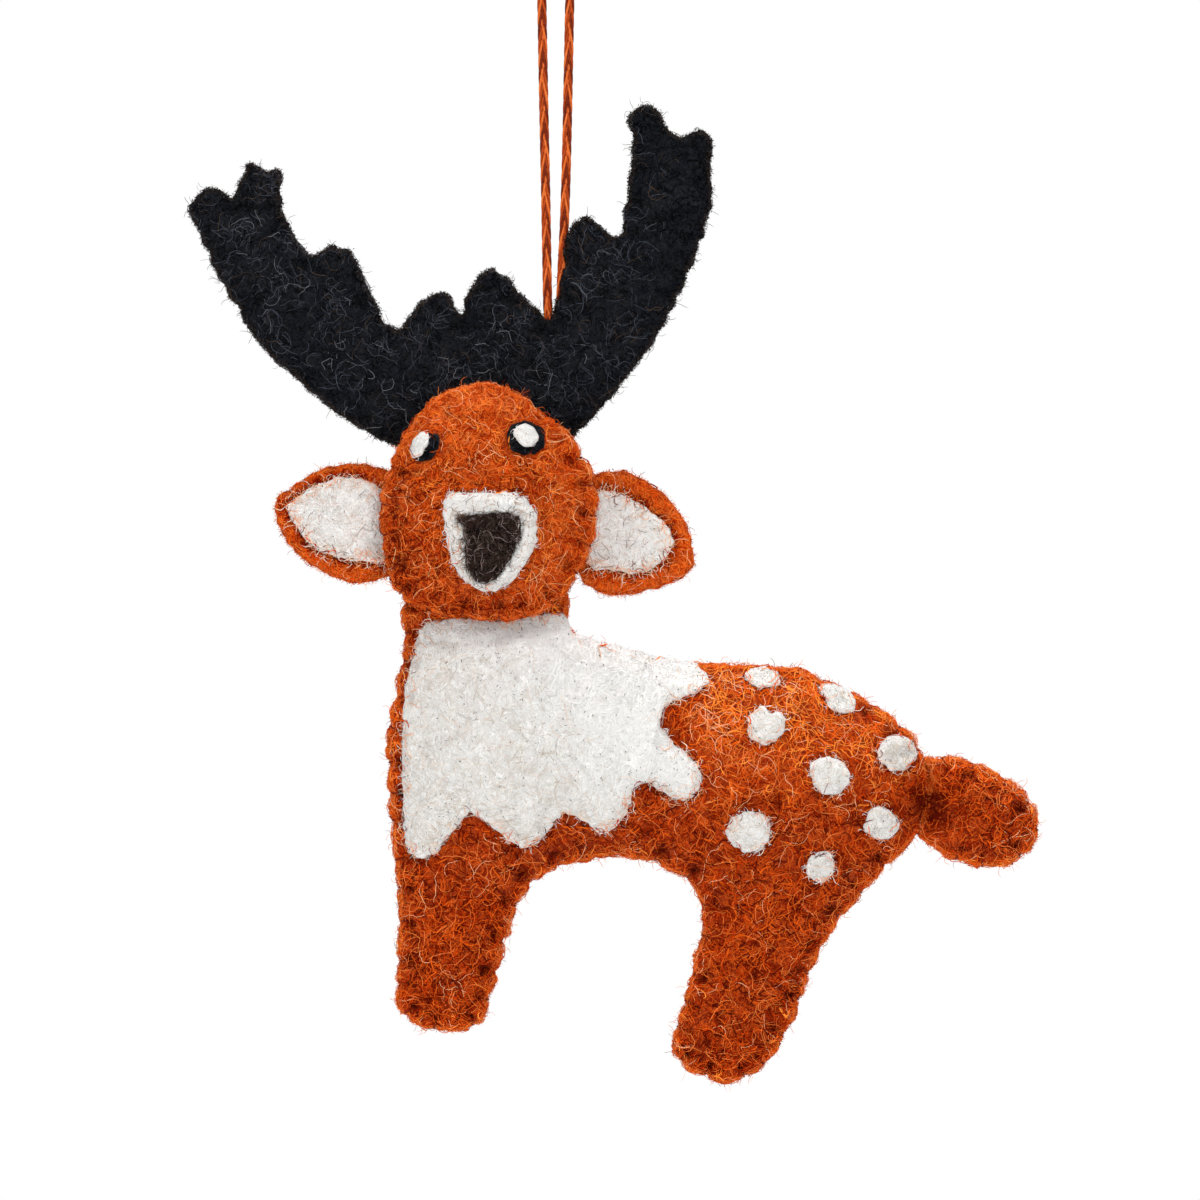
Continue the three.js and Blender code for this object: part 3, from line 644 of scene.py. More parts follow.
def hump(points, x, z, radius):
    """1 at a place, fading to 0 round it over that radius."""
    return np.exp(-(((points - (x, z)) / radius) ** 2).sum(1))


def edge_share(inside, radius):
    """How much of a felt's half thickness stands at a distance inside its rounded edge."""
    t = np.clip(inside / radius, 0, 1)
    return np.sqrt(np.clip(1 - (1 - t) ** 2, 0, 1))


def placed(flat, plane, side, height):
    """Points of the plane that stand so far out from it, to the front or to the back."""
    return np.stack([flat[..., 0], plane + side * height, flat[..., 1]], axis=-1)


def closed_felt(sheet, outer, inner, plane, side):
    """A closed mesh between two surfaces over a sheet, which meet at its rim. Both are heights."""
    flat, triangles, on_rim = sheet
    count = len(flat)
    number = np.arange(count)
    number[~on_rim] = count + np.arange((~on_rim).sum())
    behind = number[triangles]
    first = triangles[:, ::-1] if side == BACK else triangles
    second = behind if side == BACK else behind[:, ::-1]
    bare = on_rim[triangles].all(1)
    points = [placed(flat, plane, side, outer), placed(flat, plane, side, inner)[~on_rim]]
    return np.concatenate(points), np.concatenate([first[~bare], second[~bare]])


class Waves:
    """A gentle unevenness: a sum of waves in all directions, the same in each run."""

    def __init__(self, seed, shortest, longest, count=14):
        rng = np.random.default_rng(seed)
        turn = rng.uniform(0, 2 * math.pi, count)
        long = rng.uniform(shortest, longest, count)
        self.ways = np.stack([np.cos(turn), np.sin(turn)], axis=1) * (2 * math.pi / long)[:, None]
        self.starts = rng.uniform(0, 2 * math.pi, count)
        self.share = 1 / math.sqrt(count)

    def at(self, points):
        return np.sin(points @ self.ways.T + self.starts).sum(1) * self.share


class Stitches:
    """Whip stitches along a loop: where they are, and how they press the felt."""

    def __init__(self, loop, seed, pitch=STITCH_PITCH, strength=1.0, bare=()):
        rng = np.random.default_rng(seed)
        self.strength = strength
        self.length = length_of(loop)
        count = max(4, round(self.length / pitch))
        astray = rng.uniform(-STITCH_ASTRAY, STITCH_ASTRAY, count)
        self.along = (np.arange(count) + astray) * self.length / count + 0.4 * pitch
        self.depth = strength * rng.uniform(*STITCH_PULLS, count)
        steps = np.linalg.norm(np.roll(loop, -1, axis=0) - loop, axis=1)
        ends = np.concatenate([[0], np.cumsum(steps)])
        self.index = np.clip(np.searchsorted(ends, self.along % self.length) - 1, 0, len(loop) - 1)
        for x, z, radius in bare:
            self.depth[np.hypot(*(loop[self.index] - (x, z)).T) < radius] = 0

    def nearest(self, along):
        """The signed distance to the nearest stitch, and that stitch's strength."""
        gap = (along[:, None] - self.along[None] + self.length / 2) % self.length - self.length / 2
        best = np.abs(gap).argmin(1)
        return gap[np.arange(len(along)), best], self.depth[best]

    def shift(self, inside, along):
        """How far the rim moves out: it is drawn in under a stitch and stands out between two."""
        gap, depth = self.nearest(along)
        moved = RIM_OUT * self.strength - RIM_DRAWN * depth * bell(gap, 0.62)
        return moved * np.exp(-np.maximum(inside, 0))

    def relief(self, inside, along):
        """How far the felt is pressed in: a groove over the rim, a hole at its end, a pucker round both."""
        gap, depth = self.nearest(along)
        near_rim = 1 - smoothstep(inside, STITCH_DEEP - 0.2, STITCH_DEEP + 0.7)
        hole = HOLE * bell(gap, 0.50) * bell(inside - STITCH_DEEP, 0.46)
        pucker = PUCKER * bell(gap, 1.0) * np.exp(-np.maximum(inside, 0) / 2.4)
        return -np.minimum(depth * (GROOVE * bell(gap, 0.45) * near_rim + hole + pucker), MOST_PRESSED)

    def pressed(self, inside, along):
        """How dark the felt is painted in a stitch's hole and in the groove from there to the rim, from 0 to
        1: painted shade.
        """
        gap, depth = self.nearest(along)
        near_rim = 1 - smoothstep(inside, STITCH_DEEP - 0.2, STITCH_DEEP + 0.5)
        hole = bell(gap, 0.62) * bell(inside - STITCH_DEEP, 0.60)
        return np.clip(depth * np.maximum(hole, 0.22 * bell(gap, 0.34) * near_rim), 0, 1)


class Skin:
    """How far a face of the object stands out from a plane, on a grid that is read at any point."""

    def __init__(self, low, high, plane, side, reach):
        self.low = low
        self.plane = plane
        self.side = side
        self.points, shape = grid_over(low, high, SKIN_STEP)
        self.grid = reach(self.points).reshape(shape)

    def raise_to(self, reach, low, high):
        """Puts a patch on the skin, in its box: where it stands out further, it is the skin's surface."""
        near = ((self.points > low) & (self.points < high)).all(1)
        grid = self.grid.ravel().copy()
        grid[near] = np.maximum(grid[near], reach(self.points[near]))
        self.grid = grid.reshape(self.grid.shape)

    def at(self, points):
        return grid_value(self.grid, self.low, SKIN_STEP, points)


def untangled(loop, reach=12):
    """A loop without the small turns in which it crosses itself at a sharp corner."""
    points = loop.tolist()
    k = 0
    while k < len(points):
        around = points[k:] + points[:k]
        a, b = np.array(around[0]), np.array(around[1])
        for n in range(2, reach):
            c, d = np.array(around[n]), np.array(around[n + 1])
            span = (b[0] - a[0]) * (d[1] - c[1]) - (b[1] - a[1]) * (d[0] - c[0])
            if abs(span) < 1e-12:
                continue
            t = ((c[0] - a[0]) * (d[1] - c[1]) - (c[1] - a[1]) * (d[0] - c[0])) / span
            u = ((c[0] - a[0]) * (b[1] - a[1]) - (c[1] - a[1]) * (b[0] - a[0])) / span
            if 0 < t < 1 and 0 < u < 1:
                points = [around[0], (a + t * (b - a)).tolist()] + around[n + 1:]
                k = 0
                break
        k += 1
    return np.array(points)


def moved_out(loop, moves):
    """A loop whose parts lie further out or in. Each move has a place, its radius and how far out it goes."""
    way = normals_of(loop)
    for x, z, radius, by in moves:
        loop = loop + way * (by * hump(loop, x, z, radius))[:, None]
    return untangled(loop)


def crinkled(loop, seed, shortest, longest, by):
    """A loop that is as uneven as one cut by hand."""
    return loop + normals_of(loop) * (by * Waves(seed, shortest, longest).at(loop))[:, None]


def relaxed(loop, sweeps=420):
    """A skin held at the loop and pressed from inside: its lift on a grid, and where that grid starts."""
    low = loop.min(0) - 2 * FIELD_STEP
    points, (rows, columns) = grid_over(low, loop.max(0) + 2 * FIELD_STEP, FIELD_STEP)
    inside = inside_of(loop, points)
    free = np.flatnonzero(inside > 0)
    odd = (free // columns + free % columns) % 2 == 1
    lift = np.zeros(rows * columns)
    for _ in range(sweeps):
        for k in (free[odd], free[~odd]):
            settled = (lift[k - 1] + lift[k + 1] + lift[k - columns] + lift[k + columns] + 1) / 4
            lift[k] += 1.9 * (settled - lift[k])
    rounded = np.hypot(FIELD_STEP * np.sqrt(lift), SEAM_SHOULDER) - SEAM_SHOULDER
    return low, points, (rounded / rounded.max()).reshape(rows, columns)


def puffed(loop, holes, places):
    """The felt as cloth, held at the rim and at its stitches' holes and blown up from inside: the lift at
    some places, from 0 to 1."""
    flat, triangles, on_rim = sheet_of(evenly(loop, CLOTH_STEP), (), CLOTH_STEP, CLOTH_STEP, 0)
    mesh = bpy.data.meshes.new("felt_sheet")
    points = placed(flat, 0, FRONT, np.zeros(len(flat))) * CLOTH_SCALE
    mesh.from_pydata(points.tolist(), [], triangles.tolist())
    sheet = bpy.data.objects.new("felt_sheet", mesh)
    bpy.context.scene.collection.objects.link(sheet)
    to_hole = np.linalg.norm(flat[:, None] - holes[None], axis=2).min(1)
    held = np.flatnonzero(on_rim | (to_hole < 0.7 * CLOTH_STEP))
    sheet.vertex_groups.new(name="held").add(held.tolist(), 1, "REPLACE")
    cloth = sheet.modifiers.new("felt", "CLOTH")
    cloth.collision_settings.use_collision = False
    settings = cloth.settings
    settings.vertex_group_mass = "held"
    settings.quality = CLOTH_QUALITY
    settings.use_pressure = True
    settings.uniform_pressure_force = CLOTH_PRESSURE
    settings.effector_weights.gravity = 0
    settings.shrink_min = CLOTH_SHRINK
    cloth.point_cache.frame_start = 1
    cloth.point_cache.frame_end = CLOTH_FRAMES
    for number in range(1, CLOTH_FRAMES + 1):
        bpy.context.scene.frame_set(number)
    found = sheet.evaluated_get(bpy.context.evaluated_depsgraph_get()).to_mesh()
    blown = np.empty(3 * len(found.vertices))
    found.vertices.foreach_get("co", blown)
    blown = np.abs(blown[1::3])
    bpy.context.scene.frame_set(1)
    bpy.data.objects.remove(sheet)
    bpy.data.meshes.remove(mesh)
    tree = tree_of(flat)
    lift = np.zeros(len(places))
    for number, place in enumerate(places.tolist()):
        near = tree.find_n((*place, 0), 4)
        shares = [1 / (0.05 + away**2) for _, _, away in near]
        lift[number] = sum(share * blown[index] for share, (_, index, _) in zip(shares, near)) / sum(shares)
    return lift / lift.max()


class Form:
    """A stuffed form, read from its two panels: outline, seam plane, and how far each side swells. moves are
    for its outline, bumps raise its front, sewn is where another form is sewn on, and quiet is where it has
    no stitches."""

    def __init__(self, name, seed, stitching=1.0, lumps=0.14, moves=(), bumps=(), sewn=(), quiet=()):
        front, back = name + "_front_panel", name + "_back_panel"
        self.name = name
        self.bumps = bumps
        self.sewn = sewn
        self.loop = moved_out(evenly(seen_outline(front), FORM_STEP), moves)
        self.loop = crinkled(self.loop, seed + 3, 1.3, 3.4, 0.11)
        (front_low, front_high), (back_low, back_high) = box_of(front), box_of(back)
        self.seam = (front_high[1] + back_low[1]) / 2
        flat = (back_low[1] - front_high[1]) / 2 + FELT
        self.swell = {FRONT: self.seam - front_low[1] - flat, BACK: back_high[1] - self.seam - flat}
        bare = [(x, z, 2.2 * radius) for x, z, radius in sewn] + list(quiet)
        self.stitches = Stitches(self.loop, seed, strength=stitching, bare=bare)
        self.low, places, self.lift = relaxed(self.loop)
        stitched = self.stitches.index[self.stitches.depth > 0]
        holes = (self.loop - STITCH_DEEP * normals_of(self.loop))[stitched]
        blown = puffed(self.loop, holes, places).reshape(self.lift.shape)
        self.lift = (1 - CLOTH_SHARE) * self.lift + CLOTH_SHARE * blown
        self.lumps = lumps
        self.waves = {
            side: (Waves(seed + 5 * side, 7, 18), Waves(seed + 9 * side, 2.2, 5)) for side in (FRONT, BACK)
        }
        self.known = None
        self.skins = {side: self.skin(side) for side in (FRONT, BACK)}

    def base(self, points, inside, side):
        """How far the felt's inner face lies from the seam plane."""
        lift = grid_value(self.lift, self.low, FIELD_STEP, points) * smoothstep(inside, 0, SEAM_MARGIN)
        return SEAM_GAP / 2 + self.swell[side] * lift

    def relief(self, points, inside, along, side):
        broad, close = self.waves[side]
        uneven = self.lumps * (broad.at(points) + 0.5 * close.at(points)) * smoothstep(inside, 0.2, 3)
        if side == FRONT:
            for x, z, radius, by in self.bumps:
                uneven = uneven + by * hump(points, x, z, radius)
        for place in self.sewn:
            uneven = uneven - SEWN_DEEP * hump(points, *place) * smoothstep(inside, -0.5, 1)
        return uneven + self.stitches.relief(inside, along)

    def pressed(self, points, inside, along):
        """How dark the felt is painted, as painted shade: in the stitches' holes, and where another form is
        sewn on.
        """
        dark = self.stitches.pressed(inside, along)
        for place in self.sewn:
            dark = np.maximum(dark, SEWN_DEEP * hump(points, *place))
        return dark

    def outer(self, points, inside, along, side):
        thick = FELT * (0.5 + 0.5 * edge_share(inside, FELT_EDGE))
        return self.base(points, inside, side) + thick + self.relief(points, inside, along, side)

    def skin(self, side):
        def reach(points):
            if self.known is None:
                self.known = measured(self.loop, points)
            inside, along, _ = self.known
            return self.outer(points, inside, along, side) - np.maximum(-inside, 0)

        return Skin(self.loop.min(0) - 3, self.loop.max(0) + 3, self.seam, side, reach)

    def panel(self, side, materials, slot):
        """One side's felt. Its cut edge has a material of its own, painted lighter as a painted rim light."""
        flat, triangles, on_rim = sheet_of(self.loop, FELT_RINGS, *FELT_MESH)
        inside, along, out = measured(self.loop, flat)
        inside = np.where(on_rim, 0, np.maximum(inside, 0))
        rounded = edge_share(inside, FELT_EDGE)
        outer = self.outer(flat, inside, along, side)
        inner = self.base(flat, inside, side) + FELT * 0.5 * (1 - rounded)
        inner = np.where(on_rim, outer, np.minimum(inner, outer - 0.25 * rounded))
        moved = flat + out * self.stitches.shift(inside, along)[:, None]
        points, faces = closed_felt((moved, triangles, on_rim), outer, inner, self.seam, side)
        name = self.name + ("_front" if side == FRONT else "_back")
        depth = np.concatenate([inside, inside[~on_rim]])
        pressed = np.concatenate([self.pressed(flat, inside, along), 0 * inside[~on_rim]])
        return new_piece(
            name + "_felt", points, faces, materials, shares=depth[faces].max(1) < CUT_EDGE,
            replaced=[name + "_panel"], pressed=pressed,
        )

    def drawn(self, points):
        """Places on the form as its felt is drawn in at the stitches, and how far each is pressed, which
        paints the fibres there darker as shade.
        """
        inside, along, out = measured(self.loop, points)
        moved = points + out * self.stitches.shift(inside, along)[:, None]
        return moved, self.pressed(points, inside, along)

    def threads(self, material, slot):
        """The stitches' thread, over the rim from one side's hole to the other's."""
        out = normals_of(self.loop)
        depths = np.array(THREAD_DEPTHS)
        paths = []
        for k, depth in zip(self.stitches.index, self.stitches.depth):
            if depth == 0:
                continue
            at, way = self.loop[k], out[k]
            drawn = THREAD_DRAWN * depth
            flat = at - way * (depths + drawn * np.exp(-depths))[:, None]
            front, back = (
                placed(flat, self.seam, side, self.skins[side].at(flat) + THREAD_RISES)
                for side in (FRONT, BACK)
            )
            rim = at - way * (drawn - 0.12)
            paths.append(np.concatenate([front, [[rim[0], self.seam, rim[1]]], back[::-1]]))
        name = self.name + "_seam_thread"
        return tubes(name, np.array(paths), THREAD_RADIUS, [(material, 1)], sides=6)


def tubes(name, paths, radius, choices, sides=3, rank=None, ways=None, replaced=()):
    """Closed tapered tubes along many paths of as many points each. A tube's rank, from 0 to 1, picks its
    material."""
    many, count, _ = paths.shape
    along = np.gradient(paths, axis=1)
    along /= np.maximum(np.linalg.norm(along, axis=2, keepdims=True), 1e-9)
    if ways is None:
        ways = np.zeros_like(paths)
        ways[..., 1] = 1
        steep = np.abs(along[..., 1]) > 0.9
        ways[steep] = (0.6, 0, 0.8)
    across = np.cross(ways, along)
    across /= np.maximum(np.linalg.norm(across, axis=2, keepdims=True), 1e-9)
    up = np.cross(along, across)
    turn = np.arange(sides) / sides * 2 * math.pi
    width = np.broadcast_to(np.asarray(radius, float).reshape(-1, 1), (many, count)).copy()
    width[:, 1] *= 0.8
    width[:, -2] *= 0.8
    ring = np.cos(turn)[:, None] * across[:, 1:-1, None, :] + np.sin(turn)[:, None] * up[:, 1:-1, None, :]
    rings = paths[:, 1:-1, None, :] + ring * width[:, 1:-1, None, None]
    size = sides * (count - 2) + 2
    points = np.concatenate([paths[:, :1], rings.reshape(many, -1, 3), paths[:, -1:]], axis=1)
    faces = []
    last = size - 1
    final = 1 + sides * (count - 3)
    for k in range(sides):
        n = (k + 1) % sides
        faces.append((0, 1 + n, 1 + k))
        faces.append((last, final + k, final + n))
        for r in range(count - 3):
            a, b = 1 + sides * r, 1 + sides * (r + 1)
            faces.append((a + k, a + n, b + n))
            faces.append((a + k, b + n, b + k))
    faces = np.array(faces)
    triangles = (faces[None] + (np.arange(many) * size)[:, None, None]).reshape(-1, 3)
    weights = np.array([share for _, share in choices], float)
    tone = np.searchsorted(np.cumsum(weights / weights.sum())[:-1], np.zeros(many) if rank is None else rank)
    return new_piece(
        name, points.reshape(-1, 3), triangles, [m for m, _ in choices],
        shares=np.repeat(tone, len(faces)), replaced=replaced,
    )


def facing(paths, side):
    """The way across which a skin's fibres lie, for each of their points."""
    ways = np.zeros_like(paths)
    ways[..., 1] = side
    return ways


def measured_on(loop, flat):
    """How far inside a loop each point of some paths is, and which way is out there."""
    inside, _, out = measured(loop, flat.reshape(-1, 2))
    return inside.reshape(flat.shape[:2]), out.reshape(flat.shape)


def wander(rng, starts, heading, points, step, curl, kink):
    """Wavy paths in the plane from their starts. curl is how tightly they turn, in radians a millimetre."""
    count = len(starts)
    usual = rng.normal(0, 0.35 * curl, count)
    turning = rng.normal(0, curl, count)
    paths = [starts]
    for _ in range(points - 1):
        turning = usual + 0.78 * (turning - usual) + rng.normal(0, 0.75 * curl, count)
        heading = heading + turning * step + rng.normal(0, kink, count)
        way = np.stack([np.cos(heading), np.sin(heading)], axis=1)
        paths.append(paths[-1] + way * step[:, None])
    return np.stack(paths, axis=1)


def seeds_in(rng, loop, density):
    """Random places inside a loop: twice the density close to its edge, for each square millimetre."""
    low, high = loop.min(0), loop.max(0)
    places = rng.uniform(low, high, (int(2 * density * (high - low).prod()), 2))
    inside = inside_of(loop, places)
    return places[(inside > 0) & ((inside < 0.9) | (rng.uniform(0, 1, len(places)) < 0.5))]


FLOW = Waves(900, 9, 26)


def fibres_on(name, skin, loop, layer, choices, slot, seed, density=1.0, off=(), over=0.8, form=None,
              stay=0.5, shade=None, bright=0.0):
    """A tangle of fibres on a skin, from within a loop, which keeps off other loops but for a few strays.
    On a sewn form it turns round the rim to the seam, follows the felt at the stitches, and is painted darker
    in their holes, a painted shade. Elsewhere it stays in the loop but for strays. shade makes its tones
    darker or lighter by place, and the last argument makes them lighter at the rim, as a painted rim light."""
    rng = np.random.default_rng(seed)
    starts = seeds_in(rng, loop, density * layer["density"])
    combed = 2.4 * FLOW.at(starts) + rng.choice((0, math.pi), len(starts))
    heading = combed + rng.normal(0, layer["stray"], len(starts))
    step = rng.uniform(*layer["step"], len(starts))
    flat = wander(rng, starts, heading, layer["points"], step, layer["curl"], layer["kink"])
    for other in off:
        inside, _ = measured_on(other, flat)
        flat = flat[inside.max(1) < over * rng.uniform(0, 1, len(flat)) ** 2]
    inside, out = measured_on(loop, flat)
    kept = -inside.min(1) < (stay * rng.uniform(0, 1, len(flat)) ** 1.5 if form is None else 3)
    flat, inside, out = flat[kept], inside[kept], out[kept]
    many, count = flat.shape[:2]
    t = np.linspace(0, 1, count)
    lift = layer["lift"]
    rise = np.sin(math.pi * t) ** 0.6 * rng.uniform(0.05, 1.0, (many, 1)) * lift
    rise = rise + 0.3 * lift * np.sin(t * rng.uniform(6, 16, (many, 1)) + rng.uniform(0, 6, (many, 1)))
    rise[:, 0] = rise[:, -1] = ROOTED
    ways = facing(np.zeros((many, count, 3)), skin.side)
    whole = np.ones(many, bool)
    shift, pressed = np.zeros(many), np.zeros(many)
    if form is None:
        height = skin.at(flat.reshape(-1, 2)).reshape(many, count) + rise
    else:
        # Painted rim light: fibres near the rim take lighter tones
        shift = shift - bright * bell(np.maximum(inside.mean(1), 0), 1.1)
        fall = np.maximum(-inside - rng.uniform(-0.25, 0.10, (many, 1)), 0)
        flat = flat - out * fall[..., None]
        whole = np.linalg.norm(np.diff(flat, axis=1), axis=2).max(1) < 2.5 * layer["step"][1]
        lean = np.minimum(fall / 0.5, 1)
        height = np.maximum(skin.at(flat.reshape(-1, 2)).reshape(many, count) - fall, -0.9)
        height = height + rise * (1 - lean)
        moved, depth = form.drawn(flat.reshape(-1, 2))
        flat = moved.reshape(many, count, 2) + out * (lean * np.maximum(rise, -0.05))[..., None]
        pressed = depth.reshape(many, count).mean(1)
        side_way = np.stack([out[..., 0], np.zeros((many, count)), out[..., 1]], axis=2)
        ways = ways * (1 - lean[..., None]) + side_way * lean[..., None]
    if shade is not None:
        shift = shift + shade(flat.mean(1))
    shift = np.clip(shift, *SHIFTS)
    rank = rng.uniform(0, 1, many)
    rank = np.where(shift < 0, rank * (1 + shift), rank + shift * (1 - rank))
    # Painted shade: fibres in the stitches' holes take darker tones
    rank = 1 - (1 - rank) * (1 - np.clip(3.0 * pressed, 0, 0.97))
    radius = layer["radius"] * rng.uniform(0.6, 1.3, many)
    paths = placed(flat, skin.plane, skin.side, height)
    return tubes(name, paths[whole], radius[whole], choices, rank=rank[whole], ways=ways[whole])


def fringe(name, skin, loop, layer, choices, slot, seed, inward=False, share=1.0, within=None, margin=0.2):
    """Hairs that lie on a skin across a patch's edge: its own that reach out, or those round it that creep
    in. They stay so far within another loop."""
    rng = np.random.default_rng(seed)
    many = int(length_of(loop) * layer["per_mm"] * share)
    index = rng.integers(0, len(loop), many)
    way = normals_of(loop)[index] * (-1 if inward else 1)
    starts = loop[index] - way * rng.uniform(0.15, 0.55, (many, 1)) + rng.normal(0, 0.12, (many, 2))
    heading = np.arctan2(way[:, 1], way[:, 0]) + rng.normal(0, 1.6, many)
    step = rng.uniform(*layer["long"], many) / (layer["points"] - 1)
    flat = wander(rng, starts, heading, layer["points"], step, layer["curl"], HAIR_KINK)
    if within is not None:
        inside, _ = measured_on(within, flat)
        flat = flat[inside.min(1) > margin]
    many, count = flat.shape[:2]
    rise = 0.05 + np.sin(math.pi * np.linspace(0, 1, count)) * rng.uniform(0.0, 0.22, (many, 1))
    rise[:, 0] = -0.06
    height = skin.at(flat.reshape(-1, 2)).reshape(many, count) + rise
    paths = placed(flat, skin.plane, skin.side, height)
    radius = layer["radius"] * rng.uniform(0.6, 1.25, many)
    rank = rng.uniform(0, 1, many)
    return tubes(name, paths, radius, choices, rank=rank, ways=facing(paths, skin.side))


def hairs_round(name, loop, layer, low, high, choices, seed, form=None, share=1.0, off=()):
    """Hairs that stand off a rim, between two depths, where no other loop covers it."""
    rng = np.random.default_rng(seed)
    many = int(length_of(loop) * layer["per_mm"] * share)
    index = rng.integers(0, len(loop), many)
    for other in off:
        index = index[inside_of(other, loop[index]) < 0]
    many = len(index)
    out = normals_of(loop)[index]
    depth = rng.uniform(-1, 1, (many, 1))
    rim = loop if form is None else form.drawn(loop)[0]
    starts = rim[index] - out * (0.08 + 0.5 * depth**4) + rng.normal(0, 0.12, (many, 2))
    heading = np.arctan2(out[:, 1], out[:, 0]) + rng.normal(0, 0.75, many)
    step = rng.uniform(*layer["long"], many) / (layer["points"] - 1)
    flat = wander(rng, starts, heading, layer["points"], step, layer["curl"], HAIR_KINK)
    lean = 0.5 * depth + rng.normal(0, 0.3, (many, 1))
    forth = (high - low) / 2 * depth + np.linspace(0, 1, layer["points"]) * lean
    paths = placed(flat, (low + high) / 2, BACK, forth)
    radius = layer["radius"] * rng.uniform(0.7, 1.3, many)
    rank = rng.uniform(0, 1, many)
    return tubes(name, paths, radius, choices, rank=rank, ways=facing(paths, BACK))


def patch_on(node, skin, material, seed, loop=None, moves=(), thick=PATCH, edge=0.9, puff=0.25,
             uneven=0.08, dip=None):
    """A patch of felt on a skin, in its node's outline. Its edge is felted down to a thin rim, and the skin
    then stands out by it. dip presses it down by place."""
    loop = moved_out(evenly(seen_outline(node), PATCH_STEP), moves) if loop is None else loop
    loop = crinkled(loop, seed + 1, 0.9, 2.2, 0.10)
    waves = Waves(seed, 1.6, 4.5)
    carrier = copy.copy(skin)

    def top(points, inside):
        inside = np.maximum(inside, 0)
        stands = PATCH_RIM + (thick - PATCH_RIM) * edge_share(inside, edge)
        stands = stands + puff * smoothstep(inside, 0, 2.4)
        stands = stands + uneven * waves.at(points) * smoothstep(inside, 0.1, 1.2)
        if dip is not None:
            stands = stands + dip(points, inside)
        return carrier.at(points) + PATCH_SEAT + stands

    def reach(places):
        within = inside_of(loop, places)
        return np.where(within > 0, top(places, within), -1e3)

    flat, triangles, on_rim = sheet_of(loop, PATCH_RINGS, *PATCH_MESH)
    inside = inside_of(loop, flat)
    inside = np.where(on_rim, 0, np.maximum(inside, 0))
    rounded = edge_share(inside, edge)
    outer = top(flat, inside)
    under = carrier.at(flat) + PATCH_SEAT + PATCH_RIM * (1 - rounded)
    under = np.where(on_rim, outer, np.minimum(under, outer - 0.2 * rounded))
    points, faces = closed_felt((flat, triangles, on_rim), outer, under, skin.plane, skin.side)
    new_piece(node + "_felt", points, faces, [material], replaced=[node])
    skin.raise_to(reach, loop.min(0) - 0.5, loop.max(0) + 0.5)
    return loop


def rounded_disc(node, seed, notch=None, lean=0.0):
    """A spot's outline: its node's round, cut by hand and so a little uneven. notch is an angle in degrees,
    and lean how steeply it slants."""
    low, high = box_of(node)
    rng = np.random.default_rng(seed)
    turn = np.linspace(0, 2 * math.pi, 40, endpoint=False)
    radius = np.ones(40)
    for k in (2, 3, 4, 5):
        radius = radius + SPOT_ROUGH / k * rng.normal() * np.cos(k * turn + rng.uniform(0, 6))
    if notch is not None:
        away = (turn - math.radians(notch) + math.pi) % (2 * math.pi) - math.pi
        radius = radius - 0.30 * bell(away, 0.26) + 0.08 * bell(np.abs(away) - 0.6, 0.3)
    x = (low[0] + high[0]) / 2 + ((high[0] - low[0]) / 2 - SPOT_LESS) * radius * np.cos(turn)
    z = (low[2] + high[2]) / 2 + ((high[2] - low[2]) / 2 - SPOT_LESS) * radius * np.sin(turn)
    return evenly(np.stack([x, z + lean * (x - x.mean())], axis=1), PATCH_STEP)


def split_in_four(points, triangles):
    """Each triangle as four, with new points at the middles of its sides."""
    points = list(points)
    middles = {}

    def middle(a, b):
        key = (min(a, b), max(a, b))
        if key not in middles:
            middles[key] = len(points)
            points.append((points[a] + points[b]) / 2)
        return middles[key]

    split = []
    for a, b, c in triangles:
        ab, bc, ca = middle(a, b), middle(b, c), middle(c, a)
        split += [(a, ab, ca), (ab, b, bc), (ca, bc, c), (ab, bc, ca)]
    return np.array(points), np.array(split)


def filling_of(node, form, seed):
    """A filling as its node's lens, with the lumps of teased wool pressed into it. Its rim stays behind the
    seam."""
    keys, numbers = np.unique(np.round(corners_of(node).reshape(-1, 3), 3), axis=0, return_inverse=True)
    triangles = numbers.reshape(-1, 3)
    for _ in range(2 if len(triangles) < 2500 else 1):
        keys, triangles = split_in_four(keys, triangles)
    a, b, c = (keys[triangles[:, k]] for k in range(3))
    face = np.cross(b - a, c - a)
    normal = np.zeros_like(keys)
    for k in range(3):
        np.add.at(normal, triangles[:, k], face)
    normal /= np.maximum(np.linalg.norm(normal, axis=1, keepdims=True), 1e-9)
    close, broad = Waves(seed, 1.5, 4), Waves(seed + 1, 4, 9)
    sunk = np.clip(0.38 + 0.07 * close.at(keys[:, [0, 2]]) + 0.07 * broad.at(keys[:, [0, 2]]), 0.2, 0.6)
    keys = keys - normal * sunk[:, None]
    inside, _, out = measured(form.loop, keys[:, [0, 2]])
    keys[:, [0, 2]] -= out * np.maximum(FILLING_MARGIN - inside, 0)[:, None]
    inside, along, _ = measured(form.loop, keys[:, [0, 2]])
    for side in (FRONT, BACK):
        highest = form.outer(keys[:, [0, 2]], np.maximum(inside, 0), along, side) - FILLING_BELOW
        keys[:, 1] = form.seam + side * np.minimum(side * (keys[:, 1] - form.seam), highest)
    new_piece(node + "_wool", keys, triangles, [STUFFING], replaced=[node])


# The cord, and its knot inside the crown. It is a round braid of sixteen waxed strands. Eight wind each way,
# and each lies on top for a quarter turn on the front and one on the back, so that the strands meet in
# chevrons. The braid turns over at the loop's top, so that the chevrons point up on both legs

